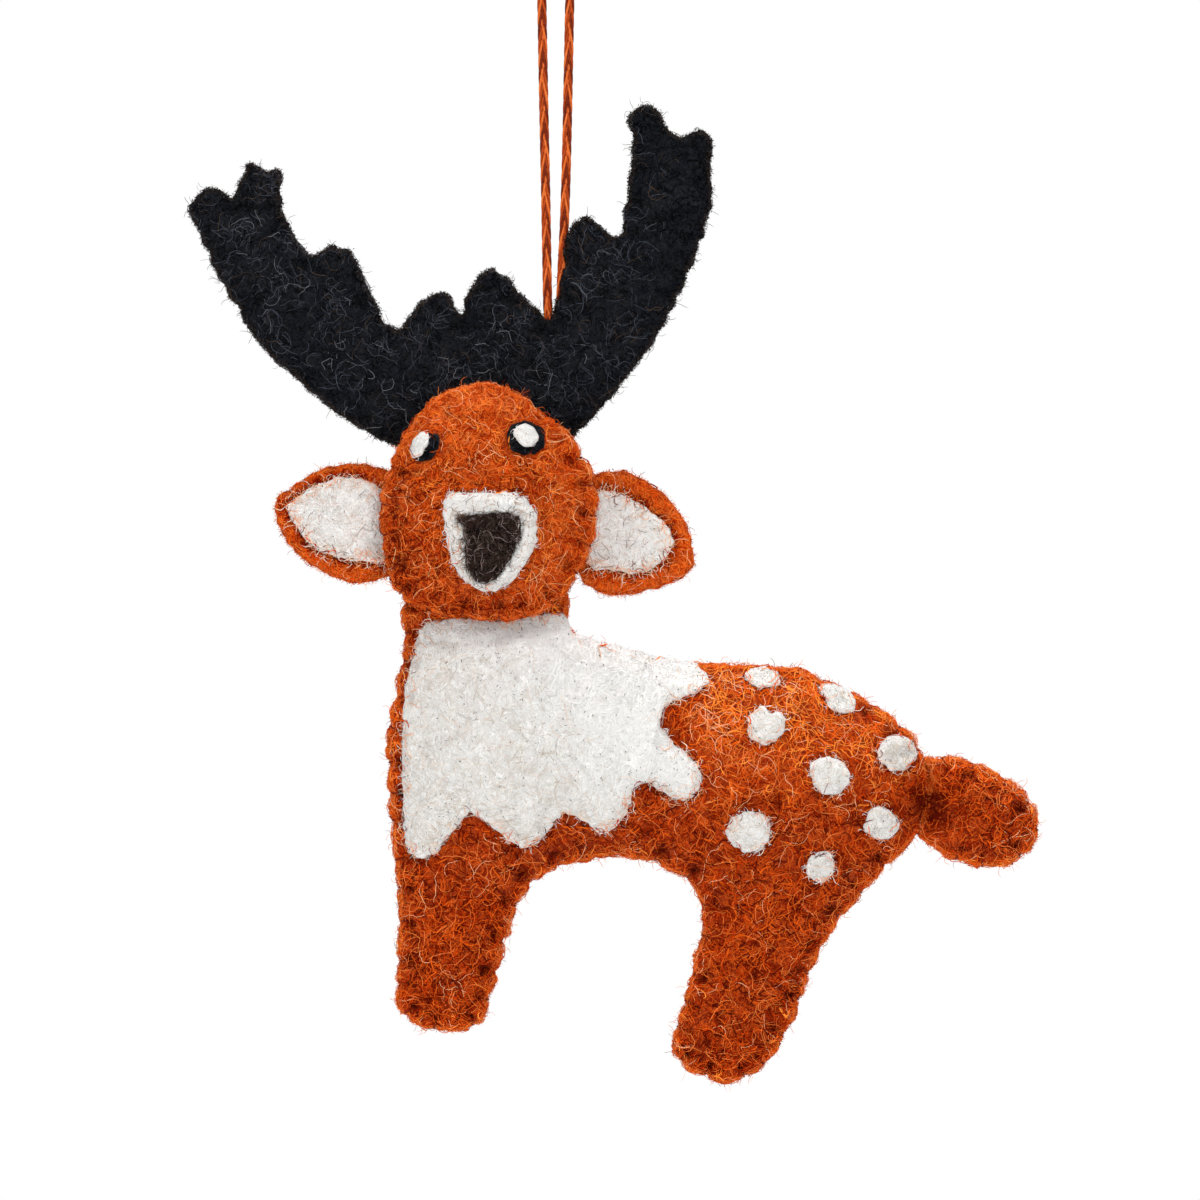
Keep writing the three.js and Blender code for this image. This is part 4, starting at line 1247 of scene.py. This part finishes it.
line = evenly([(x, 0, z) for x, z in CORD_ROUTE], 0.24, closed=False)
cord_along = np.gradient(line, axis=0)
cord_along /= np.linalg.norm(cord_along, axis=1, keepdims=True)
sideways = np.array([0.0, 1.0, 0.0])
cord_up = np.cross(cord_along, sideways)
travelled = np.concatenate([[0], np.cumsum(np.linalg.norm(np.diff(line, axis=0), axis=1))])
to_top = travelled - travelled[line[:, 2].argmax()]
strands, strand_ways = [], []
for way in (1, -1):
    for k in range(BRAID_STRANDS):
        turn = 2 * math.pi * (way * travelled / BRAID_PITCH + (k + 0.25 * way) / BRAID_STRANDS)
        out_way = np.cos(turn)[:, None] * cord_up + np.sin(turn)[:, None] * sideways
        out_by = STRAND_OUT - way * STRAND_OVER * np.tanh(to_top / 2) * np.sin(2 * turn)
        strands.append(line + out_by[:, None] * out_way)
        strand_ways.append(out_way)
cord_piece = tubes(
    "hanging_cord_plait", np.array(strands), STRAND_RADIUS, [(CORD_LIGHT, 1), (CORD, 1), (CORD_DEEP, 1)],
    sides=8, rank=np.array(STRAND_TONES), ways=np.array(strand_ways), replaced=["hanging_cord"],
)
# The core has the deepest strand material, so the gaps between strands read dark: partly a real core, partly
# painted shade in the gaps
core_piece = tubes(
    "hanging_cord_core", line[None], CORE_RADIUS, [(CORD_DEEP, 1)], sides=8,
    ways=facing(line[None], BACK),
)

knot_low, knot_high = box_of("cord_knot")
knot_turn = np.linspace(0, 2 * math.pi, 90)
knot_shape = np.stack([
    np.sin(knot_turn) + 2 * np.sin(2 * knot_turn),
    -np.sin(3 * knot_turn),
    np.cos(knot_turn) - 2 * np.cos(2 * knot_turn),
], axis=1)
knot_half = (knot_high - knot_low) / 2 - KNOT_RADIUS
knot_path = (knot_low + knot_high) / 2 + knot_shape / np.abs(knot_shape).max(0) * knot_half
knot_piece = tubes(
    "cord_knot_turns", knot_path[None], KNOT_RADIUS, [(CORD, 1)], sides=10,
    replaced=["cord_knot"],
)


# Stuffed forms. A place is x, z and a radius. A move or a bump also has how far out it goes

HEAD_MOVES = [
    (-17.0, -60.8, 3.5, -0.75), (-1.4, -58.8, 4.0, -0.85), (-8.5, -56.2, 3.0, -0.55),
    (-7.9, -84.9, 7.0, -0.5), (-18.0, -81.5, 3.0, 0.9),
]
HEAD_QUIET = [(-8.6, -60.0, 10.5)]
HEAD_BUMPS = [
    (-2.1, -79.1, 2.3, 0.9), (-4.9, -76.6, 1.5, -0.35), (-1.0, -82.2, 1.6, -0.5), (1.9, -66.8, 2.4, 0.45),
    (-9.0, -58.8, 2.2, 0.5), (-6.2, -58.0, 0.9, -0.6), (-13.2, -60.4, 1.1, -0.5), (-15.6, -76.0, 3.0, 0.35),
]
BODY_MOVES = [
    (38.6, -96.2, 6.0, -0.50), (41.8, -99.2, 2.0, 0.30), (20.6, -89.4, 3.5, -0.35),
    (24.2, -89.8, 2.5, -0.25), (32.5, -92.3, 2.5, -0.40), (-19.2, -120.0, 9.0, -0.35),
    (-20.2, -101.0, 2.5, -0.15), (2.0, -84.0, 3.0, -0.60), (16.2, -115.3, 3.0, -0.35),
    (14.4, -130.5, 6.0, -0.35), (5.0, -112.4, 9.0, 0.20), (-5.8, -120.6, 6.0, -0.20),
    (-7.8, -129.0, 3.0, -0.20), (-18.2, -130.8, 2.0, 0.25), (36.0, -118.0, 5.0, -0.15),
    (-18.6, -84.0, 2.5, 0.10), (19.5, -138.0, 3.0, -0.15),
]
BODY_QUIET = [(23.5, -91.0, 9.0), (6.0, -111.2, 3.0)]
CROWN_MOVES = [
    (-37.0, -42.0, 10.0, -0.10), (-41.4, -40.6, 4.0, -0.30), (-38.2, -47.1, 3.0, -0.35),
    (-34.4, -52.9, 2.5, 0.25), (-19.6, -50.3, 2.0, -0.3), (-9.3, -44.1, 2.5, -0.3), (6.5, -39.4, 2.0, -0.3),
    (13.9, -27.3, 1.6, -0.3), (18.2, -29.0, 2.5, -0.25), (-37.3, -32.0, 1.4, -0.3),
    (-32.4, -32.9, 1.4, -0.2), (17.4, -45.0, 7.0, -0.15),
]
TAIL_MOVES = [(50.0, -101.0, 6.0, -0.6), (43.0, -106.6, 4.0, 0.5)]
TAIL_ROOT = [(43.6, -106.6, 2.6)]
crown = Form("crown", 11, stitching=0.38, lumps=0.10, moves=CROWN_MOVES)
head = Form("head", 23, stitching=0.5, lumps=0.14, moves=HEAD_MOVES, bumps=HEAD_BUMPS, quiet=HEAD_QUIET)
body = Form("body", 37, stitching=0.85, lumps=0.16, moves=BODY_MOVES, sewn=TAIL_ROOT, quiet=BODY_QUIET)
tail = Form("tail", 41, stitching=0.5, lumps=0.12, moves=TAIL_MOVES, sewn=TAIL_ROOT)

dressing = {
    crown: ([BLACK, BLACK_CUT_PAINTED_LIGHT], BLACK_THREAD, BLACK_RIM, "black_felt"),
    head: ([RUST_FACE, RUST_CUT_PAINTED_LIGHT], RUST_THREAD, RUST_LOOSE, "rust_felt"),
    body: ([RUST, RUST_CUT_PAINTED_LIGHT], RUST_THREAD, RUST_LOOSE, "rust_felt"),
    tail: ([RUST, RUST_CUT_PAINTED_LIGHT], RUST_THREAD, RUST_LOOSE, "rust_felt"),
}
for form, (felt, thread, _, slot) in dressing.items():
    for side in (FRONT, BACK):
        form.panel(side, felt, slot)
    form.threads(thread, slot)
for number, form in enumerate(dressing):
    filling_of(form.name + "_filling", form, 70 + number)


# Patches of the body


def bib_folds(points, inside):
    """The bib's upper edge is pressed down behind the chin, with one crease below it."""
    pressed = -0.18 * smoothstep(points[:, 1], UNDER_CHIN - 1.2, UNDER_CHIN + 0.8)
    return pressed - 0.34 * bell(points[:, 1] - UNDER_CHIN, 0.45) * smoothstep(-points[:, 0], 3.0, 9.0)


UNDER_CHIN = -87.2
BIB_MOVES = [
    (5.0, -86.6, 3.0, 0.55), (10.0, -88.4, 3.0, 0.55), (14.5, -89.6, 2.4, 0.4), (15.6, -101.0, 5.0, -0.35),
    (11.0, -105.2, 2.5, -0.4), (13.0, -97.0, 3.0, -0.3), (7.5, -108.5, 3.0, -0.4), (14.5, -105.0, 3.0, -0.2),
    (17.5, -92.0, 2.0, -0.25),
]
SPOT_NOTCHES = {3: 68}
SPOT_LEANS = {1: -0.15, 2: -0.40}
SPOTS = {f"spot_{number}": number for number in range(1, 9)}
patch_loops = {"bib": patch_on(
    "bib", body.skins[FRONT], WHITE, 101, moves=BIB_MOVES, edge=1.1, puff=0.35, uneven=0.09,
    dip=bib_folds,
)}
for spot, number in SPOTS.items():
    outline = rounded_disc(spot, 210 + number, SPOT_NOTCHES.get(number), SPOT_LEANS.get(number, 0.0))
    patch_loops[spot] = patch_on(
        spot, body.skins[FRONT], WHITE, 110 + number, loop=outline, edge=1.0, puff=0.3,
        uneven=0.06,
    )


# The face


def muzzle_rim(points, inside):
    """The muzzle's felt stands up round the nose and is pressed down under it."""
    within = inside_of(nose_loop, points)
    return 0.5 * bell(inside - 0.95, 0.55) - 0.55 * smoothstep(within, -0.5, 0.4)


def eye_outline(node, grow, narrow, lean, shift):
    """An eye's oval, cut by hand: larger than its node by grow, narrower by narrow, leaning and set aside."""
    low, high = box_of(node)
    turn = np.linspace(0, 2 * math.pi, 36, endpoint=False)
    x = ((high[0] - low[0]) / 2 + grow - narrow) * np.cos(turn)
    z = ((high[2] - low[2]) / 2 + grow) * np.sin(turn)
    x = x + lean * z + shift
    return evenly(np.stack([(low[0] + high[0]) / 2 + x, (low[2] + high[2]) / 2 + z], axis=1), 0.2)


face = head.skins[FRONT]
NOSE_MOVES = [(-8.0, -72.2, 4.0, -0.45), (-11.2, -74.0, 2.5, -0.25), (-4.4, -75.0, 3.0, 0.25)]
MUZZLE_MOVES = [(-8.5, -69.6, 4.5, -0.45), (-13.3, -74.6, 3.0, -0.15)]
nose_loop = moved_out(evenly(seen_outline("nose"), PATCH_STEP), NOSE_MOVES)
nose_loop = evenly(nose_loop, PATCH_STEP)
face_loops = {"muzzle": patch_on(
    "muzzle", face, WHITE, 131, moves=MUZZLE_MOVES, edge=0.8, puff=0.1, uneven=0.07,
    dip=muzzle_rim,
)}
face_loops["nose"] = patch_on(
    "nose", face, BROWN, 133, loop=nose_loop, edge=0.8, puff=0.3, uneven=0.1, thick=0.9,
)
EYES = ("left_eye", "right_eye")
EYE_SHAPES = {
    "left_eye": (0.25, 0.0, 0.25, 0.0),
    "left_eye_highlight": (0.16, 0.24, 0.34, -0.02),
    "right_eye": (0.14, 0.0, 0.0, -0.20),
    "right_eye_highlight": (-0.02, 0.24, -0.15, 0.15),
}
for eye in EYES:
    for node, felt, slot, seed, puff, thick in (
        (eye, BLACK, "black_felt", 140, 0.1, 0.8),
        (eye + "_highlight", WHITE, "white_felt", 143, 0.15, 0.7),
    ):
        face_loops[node] = patch_on(
            node, face, felt, seed, loop=eye_outline(node, *EYE_SHAPES[node]), edge=0.6, puff=puff,
            thick=thick, uneven=0.04,
        )


# Ears: one layer of felt each, cupped forward, with a lining on the front


class Ear:
    """An ear in its node's outline, with its root on the right or on the left. Its front curls forward from
    the root to the tip, and its edges lift."""

    def __init__(self, name, seed, root_right, moves):
        self.name = name
        self.loop = moved_out(evenly(seen_outline(name), PATCH_STEP), moves)
        low, high = box_of(name)
        self.root, self.width = (high[0], low[0] - high[0]) if root_right else (low[0], high[0] - low[0])
        self.plane = high[1] - FELT
        self.curl = self.plane - low[1]
        self.middle = (low[2] + high[2]) / 2
        self.half = (high[2] - low[2]) / 2
        self.waves = Waves(seed, 3, 7)
        self.loop = crinkled(self.loop, seed + 2, 1.0, 2.6, 0.09)
        self.front, self.back = (
            Skin(self.loop.min(0) - 2, self.loop.max(0) + 2, self.plane, side, reach)
            for side, reach in ((FRONT, self.reach_front), (BACK, self.reach_back))
        )

    def curled(self, points):
        out = np.clip((points[:, 0] - self.root) / self.width, 0, 1.05)
        cup = ((points[:, 1] - self.middle) / self.half) ** 2
        lifted = 0.9 * cup * smoothstep(out, 0.25, 0.9)
        return self.curl * out**2 + lifted + 0.08 * self.waves.at(points) * out

    def faces(self, points, inside):
        """How far the front and the back stand out from the plane, the one forwards and the other back."""
        thin = FELT * 0.5 * (1 - edge_share(np.maximum(inside, 0), EAR_EDGE))
        return self.curled(points) - thin, FELT - self.curled(points) - thin

    def reach_front(self, points):
        inside = inside_of(self.loop, points)
        return self.faces(points, inside)[0] - np.maximum(-inside, 0) * 0.5

    def reach_back(self, points):
        inside = inside_of(self.loop, points)
        return self.faces(points, inside)[1] - np.maximum(-inside, 0) * 0.5

    def felt(self):
        flat, triangles, on_rim = sheet_of(self.loop, PATCH_RINGS, *EAR_MESH)
        inside = inside_of(self.loop, flat)
        outer, behind = self.faces(flat, np.where(on_rim, 0, np.maximum(inside, 0)))
        points, faces = closed_felt((flat, triangles, on_rim), outer, -behind, self.plane, FRONT)
        new_piece(self.name + "_felt", points, faces, [EAR], replaced=[self.name])


ears = {
    "left_ear": Ear("left_ear", 301, True, [(-31.0, -71.5, 7.0, -0.14)]),
    "right_ear": Ear("right_ear", 311, False, [(14.0, -73.0, 7.0, -0.14)]),
}
LINING_MOVES = {
    "left_ear": [(-22.5, -79.5, 4.0, -0.5), (-27.0, -75.5, 3.0, -0.15), (-21.5, -77.5, 2.5, -0.25)],
    "right_ear": [(8.0, -80.0, 4.5, -0.38), (4.0, -79.5, 3.0, -0.2), (12.8, -72.5, 3.0, -0.15)],
}
lining_loops = {}
for name, ear in ears.items():
    ear.felt()
    lining_loops[name] = patch_on(
        name + "_lining", ear.front, WHITE, 320, moves=LINING_MOVES[name], thick=0.8,
        puff=-0.05,
    )


# Fibres


def tangle(name, skin, loop, matted, loose, slot, seed, density=1.0, long=1.0, size=1.0, fine=1.0,
           curly=1.0, **options):
    """Both layers of a felt's fibres. long is the loose ones' share, size makes all shorter on a small piece,
    fine makes them thinner, flatter and more, and curly is how much they bend."""
    for kind, layer, choices, share, offset in (
        ("_matted_fibres", MATTED, matted, 1.0, 0), ("_loose_fibres", LOOSE, loose, long, 2),
    ):
        layer = {
            **layer,
            "step": tuple(size * length for length in layer["step"]),
            "radius": layer["radius"] * size**0.35 * fine,
            "lift": layer["lift"] * fine,
            "curl": curly * layer["curl"] / size,
            "kink": curly * layer["kink"],
        }
        more = density * share / size / fine
        fibres_on(name + kind, skin, loop, layer, choices, slot, seed + offset, more, **options)


def face_painted_light(points):
    """The brow and the right cheek are painted lighter and the chin darker: painted light from above and from
    the right, and painted shade below.
    """
    lighter = smoothstep(points[:, 1], -74, -62) + 1.1 * smoothstep(points[:, 0] - 0.3 * points[:, 1], 17, 23)
    return 0.16 - 0.50 * np.clip(lighter, 0, 1)


def body_painted_light(points):
    """The top of the rump, the strip in front of the bib and the neck are painted lighter: painted light from
    above on the rump and on the strip's rim, and on the neck, where it lifts the head's shade. The rest is a
    little darker.
    """
    x, z = points.T
    lighter = smoothstep(z, -110, -95) * smoothstep(x, 12, 18) * (1 - smoothstep(x, 40, 44))
    lighter = lighter + 0.9 * smoothstep(-x, 16, 18.5) * smoothstep(z, -113, -107)
    lighter = lighter + 0.9 * smoothstep(z, -92, -88) * (1 - smoothstep(x, 0, 8))
    return 0.12 - 0.97 * np.clip(lighter, 0, 1)


def crown_painted_shade(points):
    """The right antler is painted the darkest: painted shade against the key lamp's light on that side."""
    return 0.35 * smoothstep(points[:, 0], 6, 15)


def muzzle_brown_and_shade(points):
    """The muzzle's wool is browner beside the nose, most on its left: partly brown fibres, partly painted
    shade round the nose.
    """
    within = inside_of(nose_loop, points)
    left = 0.45 + 0.55 * smoothstep(-points[:, 0], 8.5, 11.0)
    return 0.95 * left * bell(within, 0.30 + 0.85 * left) - 0.05


def ear_painted_light_and_shade(lining):
    """An ear is painted light at its rim, a painted rim light, and dark in the pits along its lining, a
    painted shade.
    """
    return lambda points: -0.45 + 1.3 * bell(inside_of(lining, points) + 0.25, 0.65)


def lining_painted_shadow(ear):
    """A lining is painted greyer low beside the head: a painted shadow of the head."""
    def shade(points):
        out = (points[:, 0] - ear.root) / ear.width
        return 0.85 * bell(out, 0.30) * bell(points[:, 1] - ear.middle + 3.5, 2.6)
    return shade


def bib_grey_and_painted_light(points):
    """The bib is greyer low and on the left, and painted whitest behind the chin and up on the right: painted
    light that lifts the head's shadow and falls from the right.
    """
    x, z = points.T
    greyer = 0.14 * smoothstep(-z - x, 96, 122) + 0.12 * smoothstep(-z, 104, 111)
    whiter = 0.60 * smoothstep(z, -88.4, -86.6) + 0.80 * smoothstep(x + 0.6 * z, -64, -50)
    return 0.40 + greyer - whiter


def even_shade(duller):
    return lambda points: np.full(len(points), duller)


SPOTS_DULLER = {1: 0.10, 2: 0.30, 3: 0.40, 4: 0.30, 5: 0.90, 6: 0.40, 7: 0.50, 8: 0.60}
rust = (RUST_MATTED, RUST_LOOSE, "rust_felt")
black = (BLACK_MATTED, BLACK_LOOSE, "black_felt")
white = (WHITE_MATTED, WHITE_LOOSE, "white_felt")
brown = (BROWN_MATTED, BROWN_LOOSE, "brown_felt")
flank = body.skins[FRONT]
tangle("body_front", flank, body.loop, *rust, 401, off=list(patch_loops.values()), long=1.3, form=body,
       shade=body_painted_light, bright=0.8)
tangle("body_back", body.skins[BACK], body.loop, *rust, 405, density=0.9, form=body, bright=0.6)
tangle("head_front", face, head.loop, RUST_MATTED, FACE_LOOSE, "rust_felt", 409, long=1.6, size=0.9,
       fine=0.88, off=list(face_loops.values()), over=0.5, form=head, shade=face_painted_light, bright=0.1)
tangle("head_back", head.skins[BACK], head.loop, *rust, 413, density=0.6, form=head)
tangle("crown_front", crown.skins[FRONT], crown.loop, *black, 417, density=0.7, long=1.7, size=0.75,
       fine=0.75, form=crown, shade=crown_painted_shade)
tangle("crown_back", crown.skins[BACK], crown.loop, *black, 421, density=0.65, size=0.65, form=crown)
tangle("tail_front", tail.skins[FRONT], tail.loop, *rust, 425, long=1.4, form=tail, shade=body_painted_light,
       bright=1.1)
tangle("tail_back", tail.skins[BACK], tail.loop, *rust, 429, form=tail, bright=0.5)
tangle("bib", flank, patch_loops["bib"], *white, 433, fine=0.62, long=1.4, curly=0.5, shade=bib_grey_and_painted_light)
for spot, number in SPOTS.items():
    tangle(spot, flank, patch_loops[spot], *white, 440 + 4 * number, long=0.8, size=0.6, fine=0.65, curly=0.6,
           stay=0.3, shade=even_shade(SPOTS_DULLER[number]))
tangle("muzzle", face, face_loops["muzzle"], MUZZLE_MATTED, MUZZLE_MATTED, "white_felt", 481, size=0.6,
       fine=0.6, off=[face_loops["nose"]], over=0.35, stay=0.45, shade=muzzle_brown_and_shade)
tangle("nose", face, face_loops["nose"], *brown, 485, long=0.8, size=0.6, fine=0.8, stay=0.4)
for number, eye in enumerate(EYES):
    shine = eye + "_highlight"
    tangle(eye, face, face_loops[eye], *black, 489 + 8 * number, long=0.3, size=0.35, off=[face_loops[shine]],
           over=0.15, stay=0.25)
    tangle(shine, face, face_loops[shine], *white, 493 + 8 * number, long=0.3, size=0.35, fine=0.8, stay=0.2)
for number, (name, ear) in enumerate(ears.items()):
    seed = 511 + 12 * number
    lining = lining_loops[name]
    shade = ear_painted_light_and_shade(lining)
    tangle(name, ear.front, ear.loop, EAR_MATTED, RUST_LOOSE, "rust_felt", seed, size=0.6, off=[lining],
           stay=0.3, shade=shade)
    tangle(name + "_back", ear.back, ear.loop, *rust, seed + 4, density=0.9, stay=0.3, shade=shade)
    tangle(name + "_lining", ear.front, lining, LINING_MATTED, WHITE_LOOSE, "white_felt", seed + 8, size=0.8,
           fine=0.62, curly=0.6, shade=lining_painted_shadow(ear))


def edge_hairs(kind, node, skin, loop, seed, **options):
    """One kind of hairs across a patch's edge: its fringe, its pale strays, the dark fibres of painted shade
    in its pits, or the rust that creeps in.
    """
    layer, choices, slot, inward = {
        "_fringe": (FRINGE, WHITE_LOOSE, "white_felt", False),
        "_pale_strays": (CREEPING, PALE_LOOSE, "white_felt", False),
        "_pits": (PITS, PIT_SHADE, "rust_felt", True),
        "_strays": (CREEPING, RUST_LOOSE, "rust_felt", True),
    }[kind]
    fringe(node + kind, skin, loop, layer, choices, slot, seed, inward=inward, **options)


for number, (node, loop) in enumerate(patch_loops.items()):
    large = node == "bib"
    fibres_on(node + "_specks", flank, loop, SPECKS, SPECK, "white_felt", 600 + number, stay=0.05)
    edge_hairs("_fringe", node, flank, loop, 620 + number, share=1.0 if large else 1.1, within=body.loop)
    edge_hairs("_pits", node, flank, loop, 700 + number, within=body.loop)
    edge_hairs("_pale_strays", node, flank, loop, 720 + number, share=1.4 if large else 0.7,
               within=body.loop, margin=-0.1)
    edge_hairs("_strays", node, flank, loop, 640 + number, share=0.3, within=body.loop)
for number, (node, share) in enumerate((("muzzle", 1.5), *((eye + "_highlight", 0.4) for eye in EYES))):
    edge_hairs("_fringe", node, face, face_loops[node], 660 + number, share=share)
for number, node in enumerate(("muzzle", *EYES)):
    edge_hairs("_strays", node, face, face_loops[node], 670 + number, share=0.35)
fringe("nose_fringe", face, face_loops["nose"], FRINGE, BROWN_LOOSE, "brown_felt", 675, share=2.4)
for number, (name, ear) in enumerate(ears.items()):
    lining = (name + "_lining", ear.front, lining_loops[name])
    fibres_on(name + "_lining_specks", *lining[1:], SPECKS, SPECK, "white_felt", 680 + number, stay=0.05)
    edge_hairs("_pits", *lining, 740 + number, share=3.2)
    fringe(name + "_lining_fringe", *lining[1:], CREEPING, PALE_LOOSE, "white_felt", 684 + number, share=3.0)
    edge_hairs("_strays", *lining, 688 + number, share=1.3)

# Rims, but for where another form covers them
covers = {body: [tail.loop, head.loop], tail: [body.loop], head: [], crown: [head.loop]}
for form, (_, _, loose, slot) in dressing.items():
    short = SHORT_HAIR if slot == "black_felt" else FINE_HAIR
    for hairs, layer, seed in (("_short_hairs", short, 560), ("_long_hairs", LONG_HAIR, 562)):
        hairs_round(form.name + hairs, form.loop, layer, form.seam - RIM_REACH, form.seam + RIM_REACH,
                    loose, seed, form=form, off=covers[form])
for number, (name, ear) in enumerate(ears.items()):
    front = box_of(name)[0][1]
    for hairs, layer, share in (("_short_hairs", FINE_HAIR, 0.7), ("_long_hairs", LONG_HAIR, 0.3)):
        hairs_round(name + hairs, ear.loop, layer, front + 0.3, front + 1.7, RUST_LOOSE,
                    570 + number, share=share, off=[head.loop])


# Light, floor and background. A lamp has a place, a width and a power, and shines at LIT


LIGHTS = {
    "key": ((0.16, -0.66, 0.33), 0.38, 3.3),
    "left_fill": ((-0.58, -0.40, 0.06), 0.45, 1.6),
    "low_fill": ((0.06, -0.76, -0.36), 0.50, 2.2),
    "top": ((0.12, 0.12, 0.56), 0.40, 3.3),
    "back_fill": ((0.22, 0.60, 0.14), 0.50, 1.6),
}
LIT = Vector((0.005, 0, -0.082))
WORLD_LIGHT = 0.42
WORLD_SEEN = 0.58
FLOOR_LEVEL = -0.185
FLOOR_HALF = 0.7
FLOOR_FADES = (0.16, 0.40)

for name, (place, size, power) in LIGHTS.items():
    data = bpy.data.lights.new(name, "AREA")
    data.shape = "DISK"
    data.size = size
    data.energy = power
    lamp = bpy.data.objects.new(name, data)
    lamp.location = place
    lamp.rotation_euler = (LIT - Vector(place)).to_track_quat("-Z", "Y").to_euler()
    bpy.context.scene.collection.objects.link(lamp)

# The world is white where the camera sees it, and it lights with less
world = bpy.data.worlds.new("studio")
world.use_nodes = True
tree = world.node_tree
background = tree.nodes["Background"]
rays = add(tree, "ShaderNodeLightPath")
seen = mathed(tree, "MAXIMUM", rays.outputs["Is Camera Ray"], rays.outputs["Is Transmission Ray"])
strength = mathed(tree, "ADD", mathed(tree, "MULTIPLY", seen, WORLD_SEEN), WORLD_LIGHT)
tree.links.new(strength, background.inputs["Strength"])
background.inputs["Color"].default_value = (1, 1, 1, 1)
bpy.context.scene.world = world

# The floor fades out, so that it has no edge
floor_mesh = bpy.data.meshes.new("floor")
floor_corners = [
    (x * FLOOR_HALF, y * FLOOR_HALF, FLOOR_LEVEL) for x, y in ((-1, -1), (1, -1), (1, 1), (-1, 1))
]
floor_mesh.from_pydata(floor_corners, [], [(0, 1, 2, 3)])
floor = bpy.data.objects.new("floor", floor_mesh)
bpy.context.scene.collection.objects.link(floor)
material, tree, shader = new_material("pale_floor", Base_Color=(0.9, 0.9, 0.9, 1), Roughness=0.9)
where = add(tree, "ShaderNodeTexCoord").outputs["Object"]
far = add(tree, "ShaderNodeVectorMath", operation="LENGTH")
tree.links.new(vector_mathed(tree, "MULTIPLY", where, (1, 1, 0)), far.inputs[0])
faded = add(tree, "ShaderNodeMapRange", interpolation_type="SMOOTHSTEP")
faded.inputs["From Min"].default_value, faded.inputs["From Max"].default_value = FLOOR_FADES
tree.links.new(far.outputs["Value"], faded.inputs["Value"])
clear = add(tree, "ShaderNodeBsdfTransparent")
blend = add(tree, "ShaderNodeMixShader")
for number, output in enumerate((faded.outputs[0], shader.outputs[0], clear.outputs[0])):
    tree.links.new(output, blend.inputs[number])
tree.links.new(blend.outputs[0], tree.nodes["Material Output"].inputs["Surface"])
floor_mesh.materials.append(material)

bpy.context.scene.view_settings.view_transform = "Standard"
